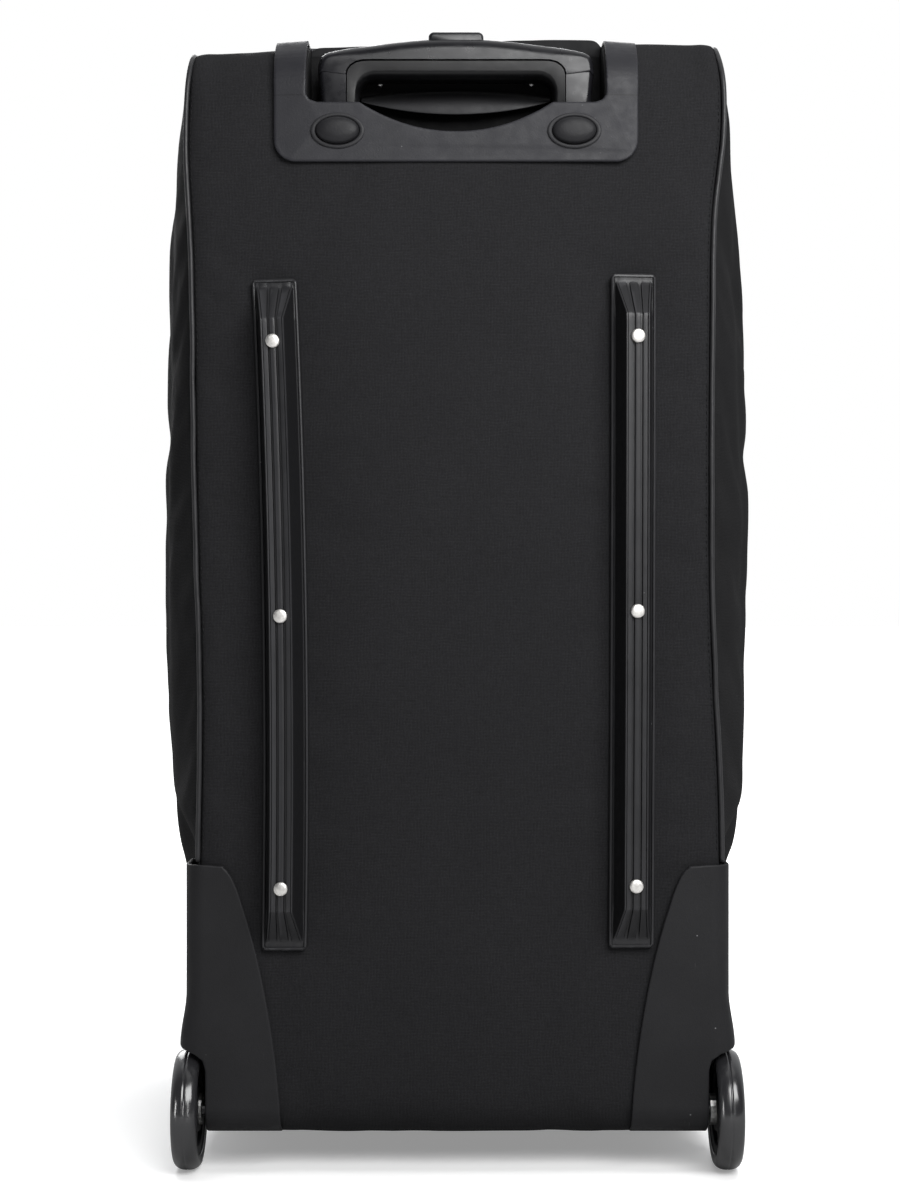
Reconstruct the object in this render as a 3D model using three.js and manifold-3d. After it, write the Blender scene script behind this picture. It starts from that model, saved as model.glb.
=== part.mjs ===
// Rolling duffel bag: a soft upright bag on a stiff back, with two recessed wheels, two skid
// rails, a two-stage telescopic pull handle and a side-hinged front lid.
// Millimetres, +Z up, standing on z = 0. +X is to the right when facing the wheeled back, and
// -Y points out of the back. Inside the bag group y is the depth, measured from the seam line
// of the back towards the front.
import * as THREE from "three";
import { mergeVertices } from "three/addons/utils/BufferGeometryUtils.js";
import Module from "manifold-3d";

const wasm = await Module();
wasm.setup();
const { degToRad } = THREE.MathUtils;

// ---------------------------------------------------------------- driving dimensions
const DEPTH_CENTRE = 162.8; // depth of the middle of the whole object, placed at y = 0
const BODY_DEPTH = 330; // seam line of the back to seam line of the front
const BODY_LOW = 25; // underside of the fabric body
const BODY_HIGH = 798; // top of the fabric body at the piping
const SEAM_X = 187.5; // half width at the piping, top and bottom
const SEAM_TUCK = 6; // the seam pulls in by this much half way up
const FABRIC = 3.5; // padded fabric thickness
const PANEL_GAP = 0.6; // between neighbouring cloth panels
const R_BACK_LOW = 26;
const R_BACK_TOP = 36;
const R_FRONT = 42;

const WHEEL_R = 42.5;
const WHEEL_W = 22;
const WHEEL_X = 190; // wheel centre plane
const WHEEL_SIDES = 24;
const AXLE_DEPTH = 14;
const AXLE_Z = WHEEL_R * Math.cos(Math.PI / WHEEL_SIDES); // the tyre stands on a flat
const AXLE_R = 4;
const HOUSING_TOP = 218;

const TUBE_X = 83;
const TUBE_DEPTH = 18;

const SIDES = [["left", -1], ["right", 1]]; // name, sign of x

// ---------------------------------------------------------------- materials
const standard = (settings) => new THREE.MeshStandardMaterial(settings);
const MATERIALS = {
  fabric: standard({ color: 0x232326, roughness: 0.92 }),
  piping: standard({ color: 0x2a2a2e, roughness: 0.45 }),
  plastic: standard({ color: 0x2c2c30, roughness: 0.55 }),
  grip: standard({ color: 0x2b2b2f, roughness: 0.42 }),
  board: standard({ color: 0x3a3a3a, roughness: 0.7 }),
  tyre: standard({ color: 0x1d1d1f, roughness: 0.35 }),
  hub: standard({ color: 0x161618, roughness: 0.5 }),
  steel: standard({ color: 0xb9b7b0, roughness: 0.32, metalness: 1 }),
  alloy: standard({ color: 0x9a9ca0, roughness: 0.35, metalness: 1 }),
  slider: standard({ color: 0x3a3a3e, roughness: 0.35, metalness: 1 }),
  webbing: standard({ color: 0x1f1f22, roughness: 0.9 }),
};

// ---------------------------------------------------------------- solids and geometries
const WELD = 1e-3; // vertices closer than this become one

function solidOf(geometry) {
  const bare = geometry.index ? geometry.toNonIndexed() : geometry.clone();
  for (const name of Object.keys(bare.attributes)) {
    if (name !== "position") bare.deleteAttribute(name);
  }
  const welded = mergeVertices(bare, WELD);
  const mesh = new wasm.Mesh({
    numProp: 3,
    vertProperties: new Float32Array(welded.attributes.position.array),
    triVerts: new Uint32Array(welded.index.array),
  });
  return new wasm.Manifold(mesh);
}

function geometryOf(solid) {
  const mesh = solid.getMesh();
  const positions = new Float32Array(mesh.vertProperties);
  const geometry = new THREE.BufferGeometry();
  geometry.setAttribute("position", new THREE.BufferAttribute(positions, 3));
  geometry.setIndex(new THREE.BufferAttribute(new Uint32Array(mesh.triVerts), 1));
  return geometry;
}

const join = (first, ...others) => others.reduce((whole, part) => whole.add(part), first);
const cut = (first, ...tools) => tools.reduce((rest, tool) => rest.subtract(tool), first);

function moved(solid, x, y, z) {
  const geometry = geometryOf(solid);
  geometry.translate(x, y, z);
  return solidOf(geometry);
}

function swapWinding(index) {
  for (let k = 0; k < index.length; k += 3) {
    [index[k + 1], index[k + 2]] = [index[k + 2], index[k + 1]];
  }
}

// The other hand of a solid, mirrored across x = 0.
function otherHand(solid) {
  const geometry = geometryOf(solid);
  geometry.scale(-1, 1, 1);
  swapWinding(geometry.index.array);
  return solidOf(geometry);
}

// A closed surface as a solid, turned right side out.
function facingOut(positions, index) {
  const geometry = new THREE.BufferGeometry();
  geometry.setAttribute("position", new THREE.BufferAttribute(new Float32Array(positions), 3));
  geometry.setIndex(index);
  const solid = solidOf(geometry);
  if (solid.volume() > 0) return solid;
  swapWinding(geometry.index.array);
  return solidOf(geometry);
}

// ---------------------------------------------------------------- shapes
const within = (half) => [-half, half];
const mirrored = (points) => points.map(([x, z]) => [-x, z]).reverse();
const vectors = (points) => points.map(([a, b]) => new THREE.Vector2(a, b));

// A box from its corner ranges.
function box([x0, x1], [y0, y1], [z0, z1]) {
  const geometry = new THREE.BoxGeometry(x1 - x0, y1 - y0, z1 - z0);
  geometry.translate((x0 + x1) / 2, (y0 + y1) / 2, (z0 + z1) / 2);
  return solidOf(geometry);
}

// The same box on the left and on the right, given by its right-hand x range.
const boxPair = ([x0, x1], depths, heights) => [
  box([-x1, -x0], depths, heights),
  box([x0, x1], depths, heights),
];

// A flat outline pushed along one axis. Its points are [y, z] for axis "x", [x, z] for "y" and
// [x, y] for "z".
function prism(points, axis, [from, to], bevel = 0) {
  const geometry = new THREE.ExtrudeGeometry(new THREE.Shape(vectors(points)), {
    depth: to - from - 2 * bevel,
    steps: 1,
    bevelEnabled: bevel > 0,
    bevelThickness: bevel,
    bevelSize: bevel,
    bevelOffset: -bevel,
    bevelSegments: 1,
  });
  geometry.translate(0, 0, from + bevel);
  const turn = new THREE.Matrix4();
  if (axis === "x") turn.set(0, 0, 1, 0, 1, 0, 0, 0, 0, 1, 0, 0, 0, 0, 0, 1);
  if (axis === "y") {
    turn.set(1, 0, 0, 0, 0, 0, -1, 0, 0, 1, 0, 0, 0, 0, 0, 1);
    geometry.translate(0, 0, -(from + to)); // the turn reverses the push
  }
  geometry.applyMatrix4(turn);
  return solidOf(geometry);
}

// radii: one for all, or low-left, low-right, high-right and high-left.
function roundRect([x0, x1], [y0, y1], radii, steps) {
  const corners = Array.isArray(radii) ? radii : [radii, radii, radii, radii];
  const points = [];
  const corner = (x, y, radius, start) => {
    if (radius <= 0.01) {
      points.push([x, y]);
      return;
    }
    for (let i = 0; i <= steps; i++) {
      const angle = start + (i / steps) * (Math.PI / 2);
      points.push([x + radius * Math.cos(angle), y + radius * Math.sin(angle)]);
    }
  };
  corner(x0 + corners[0], y0 + corners[0], corners[0], Math.PI);
  corner(x1 - corners[1], y0 + corners[1], corners[1], -Math.PI / 2);
  corner(x1 - corners[2], y1 - corners[2], corners[2], 0);
  corner(x0 + corners[3], y1 - corners[3], corners[3], Math.PI / 2);
  return points;
}

// A profile of [radius, position along X] turned about X.
function lathe(profile, segments) {
  const geometry = new THREE.LatheGeometry(vectors(profile), segments);
  geometry.rotateZ(-Math.PI / 2); // its own Y axis goes to +X
  return solidOf(geometry);
}

// Round bars along each axis.
const barX = (radius, [from, to], segments) =>
  lathe([[0, from], [radius, from], [radius, to], [0, to]], segments);

function barY(radius, [from, to], x, z) {
  const geometry = new THREE.CylinderGeometry(radius, radius, to - from, 8);
  geometry.translate(x, (from + to) / 2, z);
  return solidOf(geometry);
}

function barZ(radius, length, segments, x = 0, y = 0, z = 0) {
  const geometry = new THREE.CylinderGeometry(radius, radius, length, segments);
  geometry.rotateX(Math.PI / 2);
  geometry.translate(x, y, z);
  return solidOf(geometry);
}

// A sheet with thickness: an outer and an inner grid of points, joined round the rim.
// Each face is a function of (fraction along, fraction across, row).
function sheet(rows, columns, outerFace, innerFace) {
  const positions = [];
  const index = [];
  for (const face of [outerFace, innerFace]) {
    for (let i = 0; i <= rows; i++) {
      for (let j = 0; j <= columns; j++) positions.push(...face(i / rows, j / columns, i));
    }
  }
  const outer = (i, j) => i * (columns + 1) + j;
  const inner = (i, j) => (rows + 1) * (columns + 1) + outer(i, j);
  const quad = (p0, p1, p2, p3) => index.push(p0, p1, p2, p0, p2, p3);
  for (let i = 0; i < rows; i++) {
    for (let j = 0; j < columns; j++) {
      quad(outer(i, j), outer(i + 1, j), outer(i + 1, j + 1), outer(i, j + 1));
      quad(inner(i, j), inner(i, j + 1), inner(i + 1, j + 1), inner(i + 1, j));
    }
  }
  for (let i = 0; i < rows; i++) {
    quad(outer(i, 0), inner(i, 0), inner(i + 1, 0), outer(i + 1, 0));
    quad(outer(i, columns), outer(i + 1, columns), inner(i + 1, columns), inner(i, columns));
  }
  for (let j = 0; j < columns; j++) {
    quad(outer(0, j), outer(0, j + 1), inner(0, j + 1), inner(0, j));
    quad(outer(rows, j), inner(rows, j), inner(rows, j + 1), outer(rows, j + 1));
  }
  return facingOut(positions, index);
}

// A cord through stations, each with the direction (outY, outZ) that faces out of the bag.
function cord(stations, radius, sides) {
  const positions = [];
  const index = [];
  for (const { x, y, z, outY, outZ } of stations) {
    for (let i = 0; i < sides; i++) {
      const angle = (i / sides) * 2 * Math.PI;
      const lift = radius * Math.sin(angle);
      positions.push(x + radius * Math.cos(angle), y + outY * lift, z + outZ * lift);
    }
  }
  for (let k = 0; k + 1 < stations.length; k++) {
    for (let i = 0; i < sides; i++) {
      const here = k * sides + i;
      const next = k * sides + ((i + 1) % sides);
      index.push(here, next, next + sides, here, next + sides, here + sides);
    }
  }
  const last = (stations.length - 1) * sides;
  for (let i = 1; i + 1 < sides; i++) index.push(0, i + 1, i, last, last + i, last + i + 1);
  return facingOut(positions, index);
}

// ---------------------------------------------------------------- scene
const root = new THREE.Group();
const bag = new THREE.Group();
bag.position.y = -DEPTH_CENTRE;
root.add(bag);

function put(name, shape, material, parent = bag) {
  const geometry = shape instanceof THREE.BufferGeometry ? shape : geometryOf(shape);
  const mesh = new THREE.Mesh(geometry, material);
  mesh.name = name;
  parent.add(mesh);
  return mesh;
}

function putPair(name, left, material) {
  put(name + "_left", left, material);
  put(name + "_right", otherHand(left), material);
}

// ---------------------------------------------------------------- the fabric body's form
const WRAP_INSET = 3.2; // the wrap stops this far inside the seam
const OUTLINE_STEP = 104; // aimed-for spacing of stations on the straight runs

// 0 at the bottom and top of the body, 1 half way up.
const rise = (z) =>
  Math.max(0, Math.sin((Math.PI * (z - BODY_LOW)) / (BODY_HIGH - BODY_LOW)));
const seamX = (z) => SEAM_X - SEAM_TUCK * rise(z) * Math.sqrt(rise(z));
const wrapHalf = (z) => seamX(z) - WRAP_INSET;

// How far the cloth between the two seams swells outwards at x.
function swell(outY, outZ, x, z) {
  const back = 4 + 5 * rise(z);
  const front = 3 + 7 * rise(z);
  const top = outZ > 0 ? 4 * outZ * outZ : 0;
  const crown = (outY < 0 ? back : front) * outY * outY + top;
  return crown * (1 - (x / wrapHalf(z)) ** 2);
}

const frontSurface = (x, z) => BODY_DEPTH + swell(1, 0, x, z);

// Stations on the bag's outline seen from the side. Each run leaves out its own end, which is
// the start of the next.
const station = (y, z, outY, outZ) => ({ y, z, outY, outZ });

function straight([y0, z0], [y1, z1], outY, outZ) {
  const count = Math.max(1, Math.round(Math.hypot(y1 - y0, z1 - z0) / OUTLINE_STEP));
  return Array.from({ length: count }, (_, i) =>
    station(y0 + ((y1 - y0) * i) / count, z0 + ((z1 - z0) * i) / count, outY, outZ));
}

function bend(y, z, radius, start, count) {
  return Array.from({ length: count }, (_, i) => {
    const angle = start - (i / count) * (Math.PI / 2);
    const outY = Math.cos(angle);
    const outZ = Math.sin(angle);
    return station(y + radius * outY, z + radius * outZ, outY, outZ);
  });
}

const BACK_LOW_Z = BODY_LOW + R_BACK_LOW;
const BACK_TOP_Z = BODY_HIGH - R_BACK_TOP;
const FRONT_LOW_Z = BODY_LOW + R_FRONT;
const FRONT_TOP_Z = BODY_HIGH - R_FRONT;
const FRONT_BEND_Y = BODY_DEPTH - R_FRONT;
const OUTLINE = {
  backLow: bend(R_BACK_LOW, BACK_LOW_Z, R_BACK_LOW, (3 * Math.PI) / 2, 3),
  back: straight([0, BACK_LOW_Z], [0, BACK_TOP_Z], -1, 0),
  backTop: bend(R_BACK_TOP, BACK_TOP_Z, R_BACK_TOP, Math.PI, 4),
  top: straight([R_BACK_TOP, BODY_HIGH], [FRONT_BEND_Y, BODY_HIGH], 0, 1),
  frontTop: bend(FRONT_BEND_Y, FRONT_TOP_Z, R_FRONT, Math.PI / 2, 3),
  front: straight([BODY_DEPTH, FRONT_TOP_Z], [BODY_DEPTH, FRONT_LOW_Z], 1, 0),
  frontLow: bend(FRONT_BEND_Y, FRONT_LOW_Z, R_FRONT, 0, 3),
  base: straight([FRONT_BEND_Y, BODY_LOW], [R_BACK_LOW, BODY_LOW], 0, -1),
};

// A strip of cloth wrapped from seam to seam along some stations.
function wrap(stations) {
  const face = (deep) => (_, across, row) => {
    const { y, z, outY, outZ } = stations[row];
    const x = (across * 2 - 1) * wrapHalf(z);
    const out = swell(outY, outZ, x, z) - deep;
    return [x, y + outY * out, z + outZ * out];
  };
  return sheet(stations.length - 1, 6, face(0), face(FABRIC));
}

// ---------------------------------------------------------------- wheel housing, left hand
const HOUSING_X = 190.5; // outer side face
const HOUSING_BACK = -7;
const HOUSING_LOW = 22;
const HOUSING_T = 3;
const HOUSING_CLEAR = 0.5; // the cloth is cut away this far round the housing
const WELL_R = 48;
const WELL_FLOOR_X = -176.5;
const WELL_ROUND = 11;
const WELL_SIDES = 24;

// The curved edge where the housing ends on the back: x, z.
const BACK_EDGE = [
  [-210, HOUSING_TOP], [-166, HOUSING_TOP], [-160, HOUSING_TOP - 2.5],
  [-155.8, HOUSING_TOP - 8], [-149.5, 188], [-140.4, 156], [-133, 120.5], [-127.5, 85.5],
  [-124.5, 57], [-123, 10], [-210, 10],
];
// The curved edge where it ends on the side, from the bottom up: depth, z.
const SIDE_CURVE = [
  [119, 10], [118, 40], [112, 80], [100, 122], [82, 165], [62, 200], [50, 212],
  [38, HOUSING_TOP],
];
const SIDE_EDGE = [[-20, 10], ...SIDE_CURVE, [-20, HOUSING_TOP]];

// The full block, grown outwards all round.
function housingBlock(grow) {
  const acrossX = [-HOUSING_X - grow, -60];
  const depths = [HOUSING_BACK - grow, 150];
  const heights = [HOUSING_LOW - grow, 260];
  const plan = prism(roundRect(acrossX, depths, [13 + grow, 0, 0, 0.1], 3), "z", [0, 260]);
  const side = prism(roundRect(depths, heights, [24 + grow, 0, 0, 0], 3), "x", [-260, 0]);
  const back = prism(roundRect(acrossX, heights, [12 + grow, 0, 0, 0], 3), "y", [-60, 160]);
  return plan.intersect(side).intersect(back);
}

// The space inside both curved edges, grown outwards.
function housingTrim(grow) {
  const spread = (edge, middle) => edge.map(([across, z]) => [
    across + (across > middle ? grow : -grow),
    z + (z > 100 ? grow : -grow),
  ]);
  const back = prism(spread(BACK_EDGE, -200), "y", [-80, 170]);
  return back.intersect(prism(spread(SIDE_EDGE, 0), "x", [-260, 0]));
}

const onAxle = (solid) => moved(solid, 0, AXLE_DEPTH, AXLE_Z);

// The space round the wheel, open to the outside and rounded at its inner end.
function wheelWell(radius, fromX, toX) {
  const profile = [
    [0, fromX],
    [radius, fromX],
    [radius, toX - WELL_ROUND],
    [radius - WELL_ROUND * 0.3, toX - WELL_ROUND * 0.3],
    [radius - WELL_ROUND, toX],
    [0, toX],
  ];
  return onAxle(lathe(profile, WELL_SIDES));
}

// Raised lip over the wheel.
function wheelBrow() {
  const profile = [ // radius, x
    [48.6, -194.6], [53, -194.6], [57, -189], [57, -186], [48.6, -186], [48.6, -194.6],
  ];
  const ring = onAxle(lathe(profile, WELL_SIDES));
  return ring.intersect(box([-260, -100], [-6.5, 75], [62, 130]));
}

function wheelHousing() {
  const outer = housingBlock(0);
  const shell = outer.subtract(housingBlock(-HOUSING_T)).intersect(housingTrim(0));
  const wall = wheelWell(WELL_R + HOUSING_T, -240, WELL_FLOOR_X + HOUSING_T)
    .intersect(outer)
    .intersect(housingTrim(0));
  const bore = onAxle(barX(AXLE_R + 0.3, [-180, -170], 16));
  return cut(join(shell, wall, wheelBrow()), wheelWell(WELL_R, -260, WELL_FLOOR_X), bore);
}

const coverLeft = housingBlock(HOUSING_CLEAR).intersect(housingTrim(HOUSING_CLEAR));
const housingCovers = [coverLeft, otherHand(coverLeft)];

// ---------------------------------------------------------------- rail placing and rivet holes
const RAILS = { // middle of each rail, and outward lean of its top in degrees: set by hand
  left: { x: -122.5, z: 393, lean: 0.72 },
  right: { x: 124, z: 396.5, lean: 0.2 },
};
const RIVET_PITCH = 190.4;
const RIVETS = [["lower", -RIVET_PITCH], ["middle", 0], ["upper", RIVET_PITCH]];

// Clearance holes for the rail rivets through whatever lies in a range of depth.
const rivetHoles = (depths) =>
  SIDES.flatMap(([side, sign]) => {
    const { x, z, lean } = RAILS[side];
    const slope = sign * Math.sin(degToRad(lean));
    return RIVETS.map(([, along]) => barY(4.2, depths, x + slope * along, z + along));
  });

// ---------------------------------------------------------------- back, base and front panels
const LID_X = 150;
const LID_LOW = 88;
const LID_HIGH = 735;
const LID_R = 45;

const shifted = (place, by) => ({ ...place, y: place.y + by });
const baseSeam = station(R_BACK_LOW + 30, BODY_LOW, 0, -1); // back panel meets base panel

function backPanel() {
  const cloth = wrap([
    baseSeam,
    ...OUTLINE.backLow,
    ...OUTLINE.back,
    ...OUTLINE.backTop,
    ...OUTLINE.top,
    shifted(OUTLINE.frontTop[0], -PANEL_GAP),
  ]);
  const cupHole = box(within(109), [-30, 47], [718, 830]);
  return cut(cloth, ...housingCovers, cupHole, ...rivetHoles([-30, 20]));
}

function basePanel() {
  const cloth = wrap([
    shifted(OUTLINE.base[0], -PANEL_GAP),
    station(190, BODY_LOW, 0, -1),
    station(120, BODY_LOW, 0, -1),
    shifted(baseSeam, PANEL_GAP),
  ]);
  return cut(cloth, ...housingCovers);
}

function lidShape(inset) {
  const acrossX = within(LID_X - inset);
  const heights = [LID_LOW + inset, LID_HIGH - inset];
  return prism(roundRect(acrossX, heights, LID_R - inset, 5), "y", [250, 400]);
}

const frontCloth = wrap([
  ...OUTLINE.frontTop,
  ...OUTLINE.front,
  ...OUTLINE.frontLow,
  OUTLINE.base[0],
]);

put("back_panel", backPanel(), MATERIALS.fabric);
put("base_panel", basePanel(), MATERIALS.fabric);
put("front_panel", frontCloth.subtract(lidShape(0)), MATERIALS.fabric);

// ---------------------------------------------------------------- side panels
const SIDE_INSET = 5.8; // panel rim inside the body outline
const SIDE_LOW = BODY_LOW + SIDE_INSET;
const SIDE_HIGH = BODY_HIGH - SIDE_INSET;
const SIDE_BULGE = 36; // how far each side panel bellies out
const BULGE_Z = 440; // fullest height
const BULGE_BLEND = 75; // the bulge fades in over this distance from the housing

// Depth at which the panel starts and ends at a height.
function sideSpan(z) {
  const cornerInset = (lowRadius, highRadius) => {
    const low = lowRadius - SIDE_INSET;
    const high = highRadius - SIDE_INSET;
    if (z < SIDE_LOW + low) {
      return low - Math.sqrt(Math.max(0, low * low - (SIDE_LOW + low - z) ** 2));
    }
    if (z > SIDE_HIGH - high) {
      return high - Math.sqrt(Math.max(0, high * high - (z - SIDE_HIGH + high) ** 2));
    }
    return 0;
  };
  return [
    SIDE_INSET + cornerInset(R_BACK_LOW, R_BACK_TOP),
    BODY_DEPTH - SIDE_INSET - cornerInset(R_FRONT, R_FRONT),
  ];
}

// Depth of the housing's curved side edge at a height.
function housingEdge(z) {
  for (let i = 1; i < SIDE_CURVE.length; i++) {
    const [y0, z0] = SIDE_CURVE[i - 1];
    const [y1, z1] = SIDE_CURVE[i];
    if (z >= z0 && z <= z1) return y0 + ((y1 - y0) * (z - z0)) / (z1 - z0);
  }
  return SIDE_CURVE.at(-1)[0];
}

function bulge(y, z) {
  const across = Math.min(1, Math.max(-1, (2 * y) / BODY_DEPTH - 1));
  const above = z > BULGE_Z;
  const away = above
    ? (z - BULGE_Z) / (BODY_HIGH - BULGE_Z)
    : (BULGE_Z - z) / (BULGE_Z - BODY_LOW);
  const upright = 1 - Math.min(1, away) ** (above ? 2.9 : 1.6);
  // held flat where the wheel housing covers it
  const pastEdge = (y - housingEdge(z) - 6) / BULGE_BLEND;
  const pastTop = (z - HOUSING_TOP - 4) / BULGE_BLEND;
  const free = Math.min(1, Math.max(0, pastEdge, pastTop));
  return SIDE_BULGE * (1 - Math.abs(across) ** 3) * upright * free * free * (3 - 2 * free);
}

// Near the wheel housing the side cloth steps in to pass behind it.
const sideTuck = (y, z) => (y < 150 && z < HOUSING_TOP + 20 ? 3 : 0);

function sidePanel() {
  const rimRows = [0, 4, 14, 32]; // distances of the close rows from the low and high rims
  const middleSpan = SIDE_HIGH - SIDE_LOW - 64;
  const rows = rimRows.map((from) => SIDE_LOW + from);
  for (let i = 1; i < 9; i++) rows.push(SIDE_LOW + 32 + (middleSpan * i) / 9);
  for (const from of rimRows.toReversed()) rows.push(SIDE_HIGH - from);
  const face = (deep) => (_, across, row) => {
    const z = rows[row];
    const [start, end] = sideSpan(z);
    const y = start + (end - start) * (0.5 - 0.5 * Math.cos(Math.PI * across));
    return [-(seamX(z) + 1.8 - sideTuck(y, z) + bulge(y, z) - deep), y, z];
  };
  return sheet(rows.length - 1, 8, face(0), face(FABRIC));
}

putPair("side_panel", cut(sidePanel(), coverLeft), MATERIALS.fabric);

// ---------------------------------------------------------------- piping
const PIPING_R = 2.6;
const PIPING_SINK = 1.3; // centre line below the outline

// From the top of the housing up the back, over the top, down the front and back underneath.
function piping() {
  const way = [
    station(0, HOUSING_TOP + 1.2, -1, 0),
    ...OUTLINE.back.filter(({ z }) => z >= HOUSING_TOP + 2),
    ...OUTLINE.backTop,
    ...OUTLINE.top,
    ...OUTLINE.frontTop,
    ...OUTLINE.front,
    ...OUTLINE.frontLow,
    ...OUTLINE.base.filter(({ y }) => y >= 124),
    station(121.5, BODY_LOW, 0, -1),
  ];
  const stations = way.map(({ y, z, outY, outZ }) => ({
    x: -(seamX(z) - 0.1),
    y: y - outY * PIPING_SINK,
    z: z - outZ * PIPING_SINK,
    outY,
    outZ,
  }));
  return cord(stations, PIPING_R, 6);
}

putPair("piping", piping(), MATERIALS.piping);
putPair("wheel_housing", wheelHousing(), MATERIALS.plastic);

// ---------------------------------------------------------------- boards inside, and front feet
function backBoard() {
  const board = prism(roundRect(within(160), [46, 706], 12, 3), "y", [5.4, 7.9]);
  return cut(board, ...rivetHoles([0, 20]));
}

const baseBoard = () =>
  prism(roundRect(within(170), [34, 284], [10, 10, 30, 30], 3), "z", [29.4, 32.4]);

put("back_board", backBoard(), MATERIALS.board);
put("base_board", baseBoard(), MATERIALS.board);

const FOOT_X = 138;
const FOOT_DEPTH = 282;
const FOOT_HEIGHT = 24.4;
const foot = prism(roundRect(within(26), within(19), 10, 3), "z", [0, FOOT_HEIGHT], 3);
for (const [side, sign] of SIDES) {
  put("foot_" + side, foot, MATERIALS.plastic).position.set(sign * FOOT_X, FOOT_DEPTH, 0);
}

// ---------------------------------------------------------------- handle surround
const SURROUND_X = 128;
const SURROUND_LOW = 711.4;
const SURROUND_TOP = 805.8;
const SURROUND_BACK = -9;
const SURROUND_R = R_BACK_TOP + 7;
const SURROUND_T = 3;
const PLUG_Z = 733;

// An oval pushed along the depth, at the height of the plugs.
function oval([halfWidth, halfHeight], depths, x, sides) {
  const points = [];
  for (let i = 0; i < sides; i++) {
    const angle = (i / sides) * 2 * Math.PI;
    points.push([x + halfWidth * Math.cos(angle), PLUG_Z + halfHeight * Math.sin(angle)]);
  }
  return prism(points, "y", depths);
}

// The smile-shaped lower edge of the finger scoop, left to right.
function smile(half, low, lift, steps) {
  const points = [];
  for (let i = 0; i <= steps; i++) {
    const across = -1 + (2 * i) / steps;
    points.push([half * across, low + lift * Math.abs(across) ** 2.1]);
  }
  return points;
}

// Side section line: up the back, round the top edge and along the top.
function surroundLine(inset) {
  const bendY = SURROUND_BACK + SURROUND_R;
  const bendZ = SURROUND_TOP - SURROUND_R;
  const radius = SURROUND_R - inset;
  const line = [[SURROUND_BACK + inset, SURROUND_LOW], [SURROUND_BACK + inset, bendZ]];
  for (let i = 1; i <= 6; i++) {
    const angle = Math.PI - (i / 6) * (Math.PI / 2);
    line.push([bendY + radius * Math.cos(angle), bendZ + radius * Math.sin(angle)]);
  }
  line.push([66, SURROUND_TOP - inset]);
  return line;
}

function handleSurround() {
  const section = [...surroundLine(0), ...surroundLine(SURROUND_T).reverse()];
  const band = prism(section, "x", within(SURROUND_X));
  const rearView = roundRect(within(SURROUND_X), [SURROUND_LOW, 900], [16, 16, 0, 0], 4);
  const opening = [
    [-105.5, 900], [-105.5, 753.5],
    ...smile(68, 733, 20.5, 10),
    [105.5, 753.5], [105.5, 900],
  ];
  const holes = SIDES.map(([, sign]) => oval([15.6, 9.9], [-20, 5], sign * TUBE_X, 18));
  const rings = SIDES.map(([, sign], i) =>
    oval([19, 12.4], [-10.2, -8], sign * TUBE_X, 18).subtract(holes[i]));
  const plate = cut(
    band.intersect(prism(rearView, "y", [-40, 120])),
    prism(opening, "y", [-40, 49]), // the far edge stays as a bar in front of the grip
    ...holes,
  );
  return join(plate, ...rings);
}

// Domed oval plug: three stacked ovals, smaller outwards.
const surroundPlug = (x) =>
  join(
    oval([14.9, 9.2], [-13, -4.5], x, 14),
    oval([12.6, 7.2], [-14.6, -12], x, 14),
    oval([9, 4.6], [-15.6, -14], x, 14),
  );

put("handle_surround", handleSurround(), MATERIALS.plastic);
for (const [side, sign] of SIDES) {
  put("surround_plug_" + side, surroundPlug(sign * TUBE_X), MATERIALS.grip);
}

// ---------------------------------------------------------------- telescopic tube sections
const TUBE_T = 1.2;
const TUBE_NEST = 3.4; // each stage is this much narrower than the one round it
const TUBE_FIT = 0.6; // added to a tube's width and depth where it passes through a part
const grown = (size, by) => size.map((length) => length + by);
const TUBE_OUTER = [24, 16]; // x, depth
const TUBE_MIDDLE = grown(TUBE_OUTER, -TUBE_NEST);
const TUBE_INNER = grown(TUBE_MIDDLE, -TUBE_NEST);

// Solid bar of the tube's section, inset all round.
function tubeBar([width, depth], [low, high], x, inset = 0, radius = 3) {
  const acrossX = [x - width / 2 + inset, x + width / 2 - inset];
  const depths = [TUBE_DEPTH - depth / 2 + inset, TUBE_DEPTH + depth / 2 - inset];
  return prism(roundRect(acrossX, depths, radius, 2), "z", [low, high]);
}

const tube = (size, [low, high], x) =>
  tubeBar(size, [low, high], x).subtract(tubeBar(size, [low - 5, high + 5], x, TUBE_T, 2));

const tubePassage = (size, heights, x) => tubeBar(grown(size, TUBE_FIT), heights, x);

// ---------------------------------------------------------------- handle cup
const CUP_LOW = 720;
const CUP_BACK = -4.8;
const CUP_FRONT = 46;
const CUP_R = R_BACK_TOP + 4.3;
const CUP_BEND_Z = BACK_TOP_Z - 1;

// The moulded cup inside the surround.
function handleCup() {
  const section = [[CUP_BACK, CUP_LOW], [CUP_BACK, BACK_TOP_Z]]; // depth, z
  for (let i = 1; i <= 5; i++) {
    const angle = Math.PI - (i / 5) * (Math.PI / 2);
    section.push([
      R_BACK_TOP + CUP_R * Math.cos(angle),
      CUP_BEND_Z + CUP_R * Math.sin(angle),
    ]);
  }
  section.push([CUP_FRONT, CUP_BEND_Z + CUP_R], [CUP_FRONT, CUP_LOW]);
  // finger scoop: a rounded trough below the shelf, only between the grip's legs
  const scoop = [...smile(66, 727, 22, 12), [66, 780], [-66, 780]];
  const cavity = join(
    box(within(104.6), [-40, 43], [744.2, 860]),
    prism(scoop, "y", [-40, 40]),
  );
  return cut(
    prism(section, "x", within(108)),
    cavity,
    ...boxPair([60, 200], [-40, 9.2], [700, 742.8]), // the plugs reach in here
    ...boxPair([68, 200], [-40, 60], [700, 741.2]), // room under the shelf for the tube tops
    ...SIDES.map(([, sign]) => tubePassage(TUBE_MIDDLE, [730, 750], sign * TUBE_X)),
  );
}

put("handle_cup", handleCup(), MATERIALS.plastic);

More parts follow.
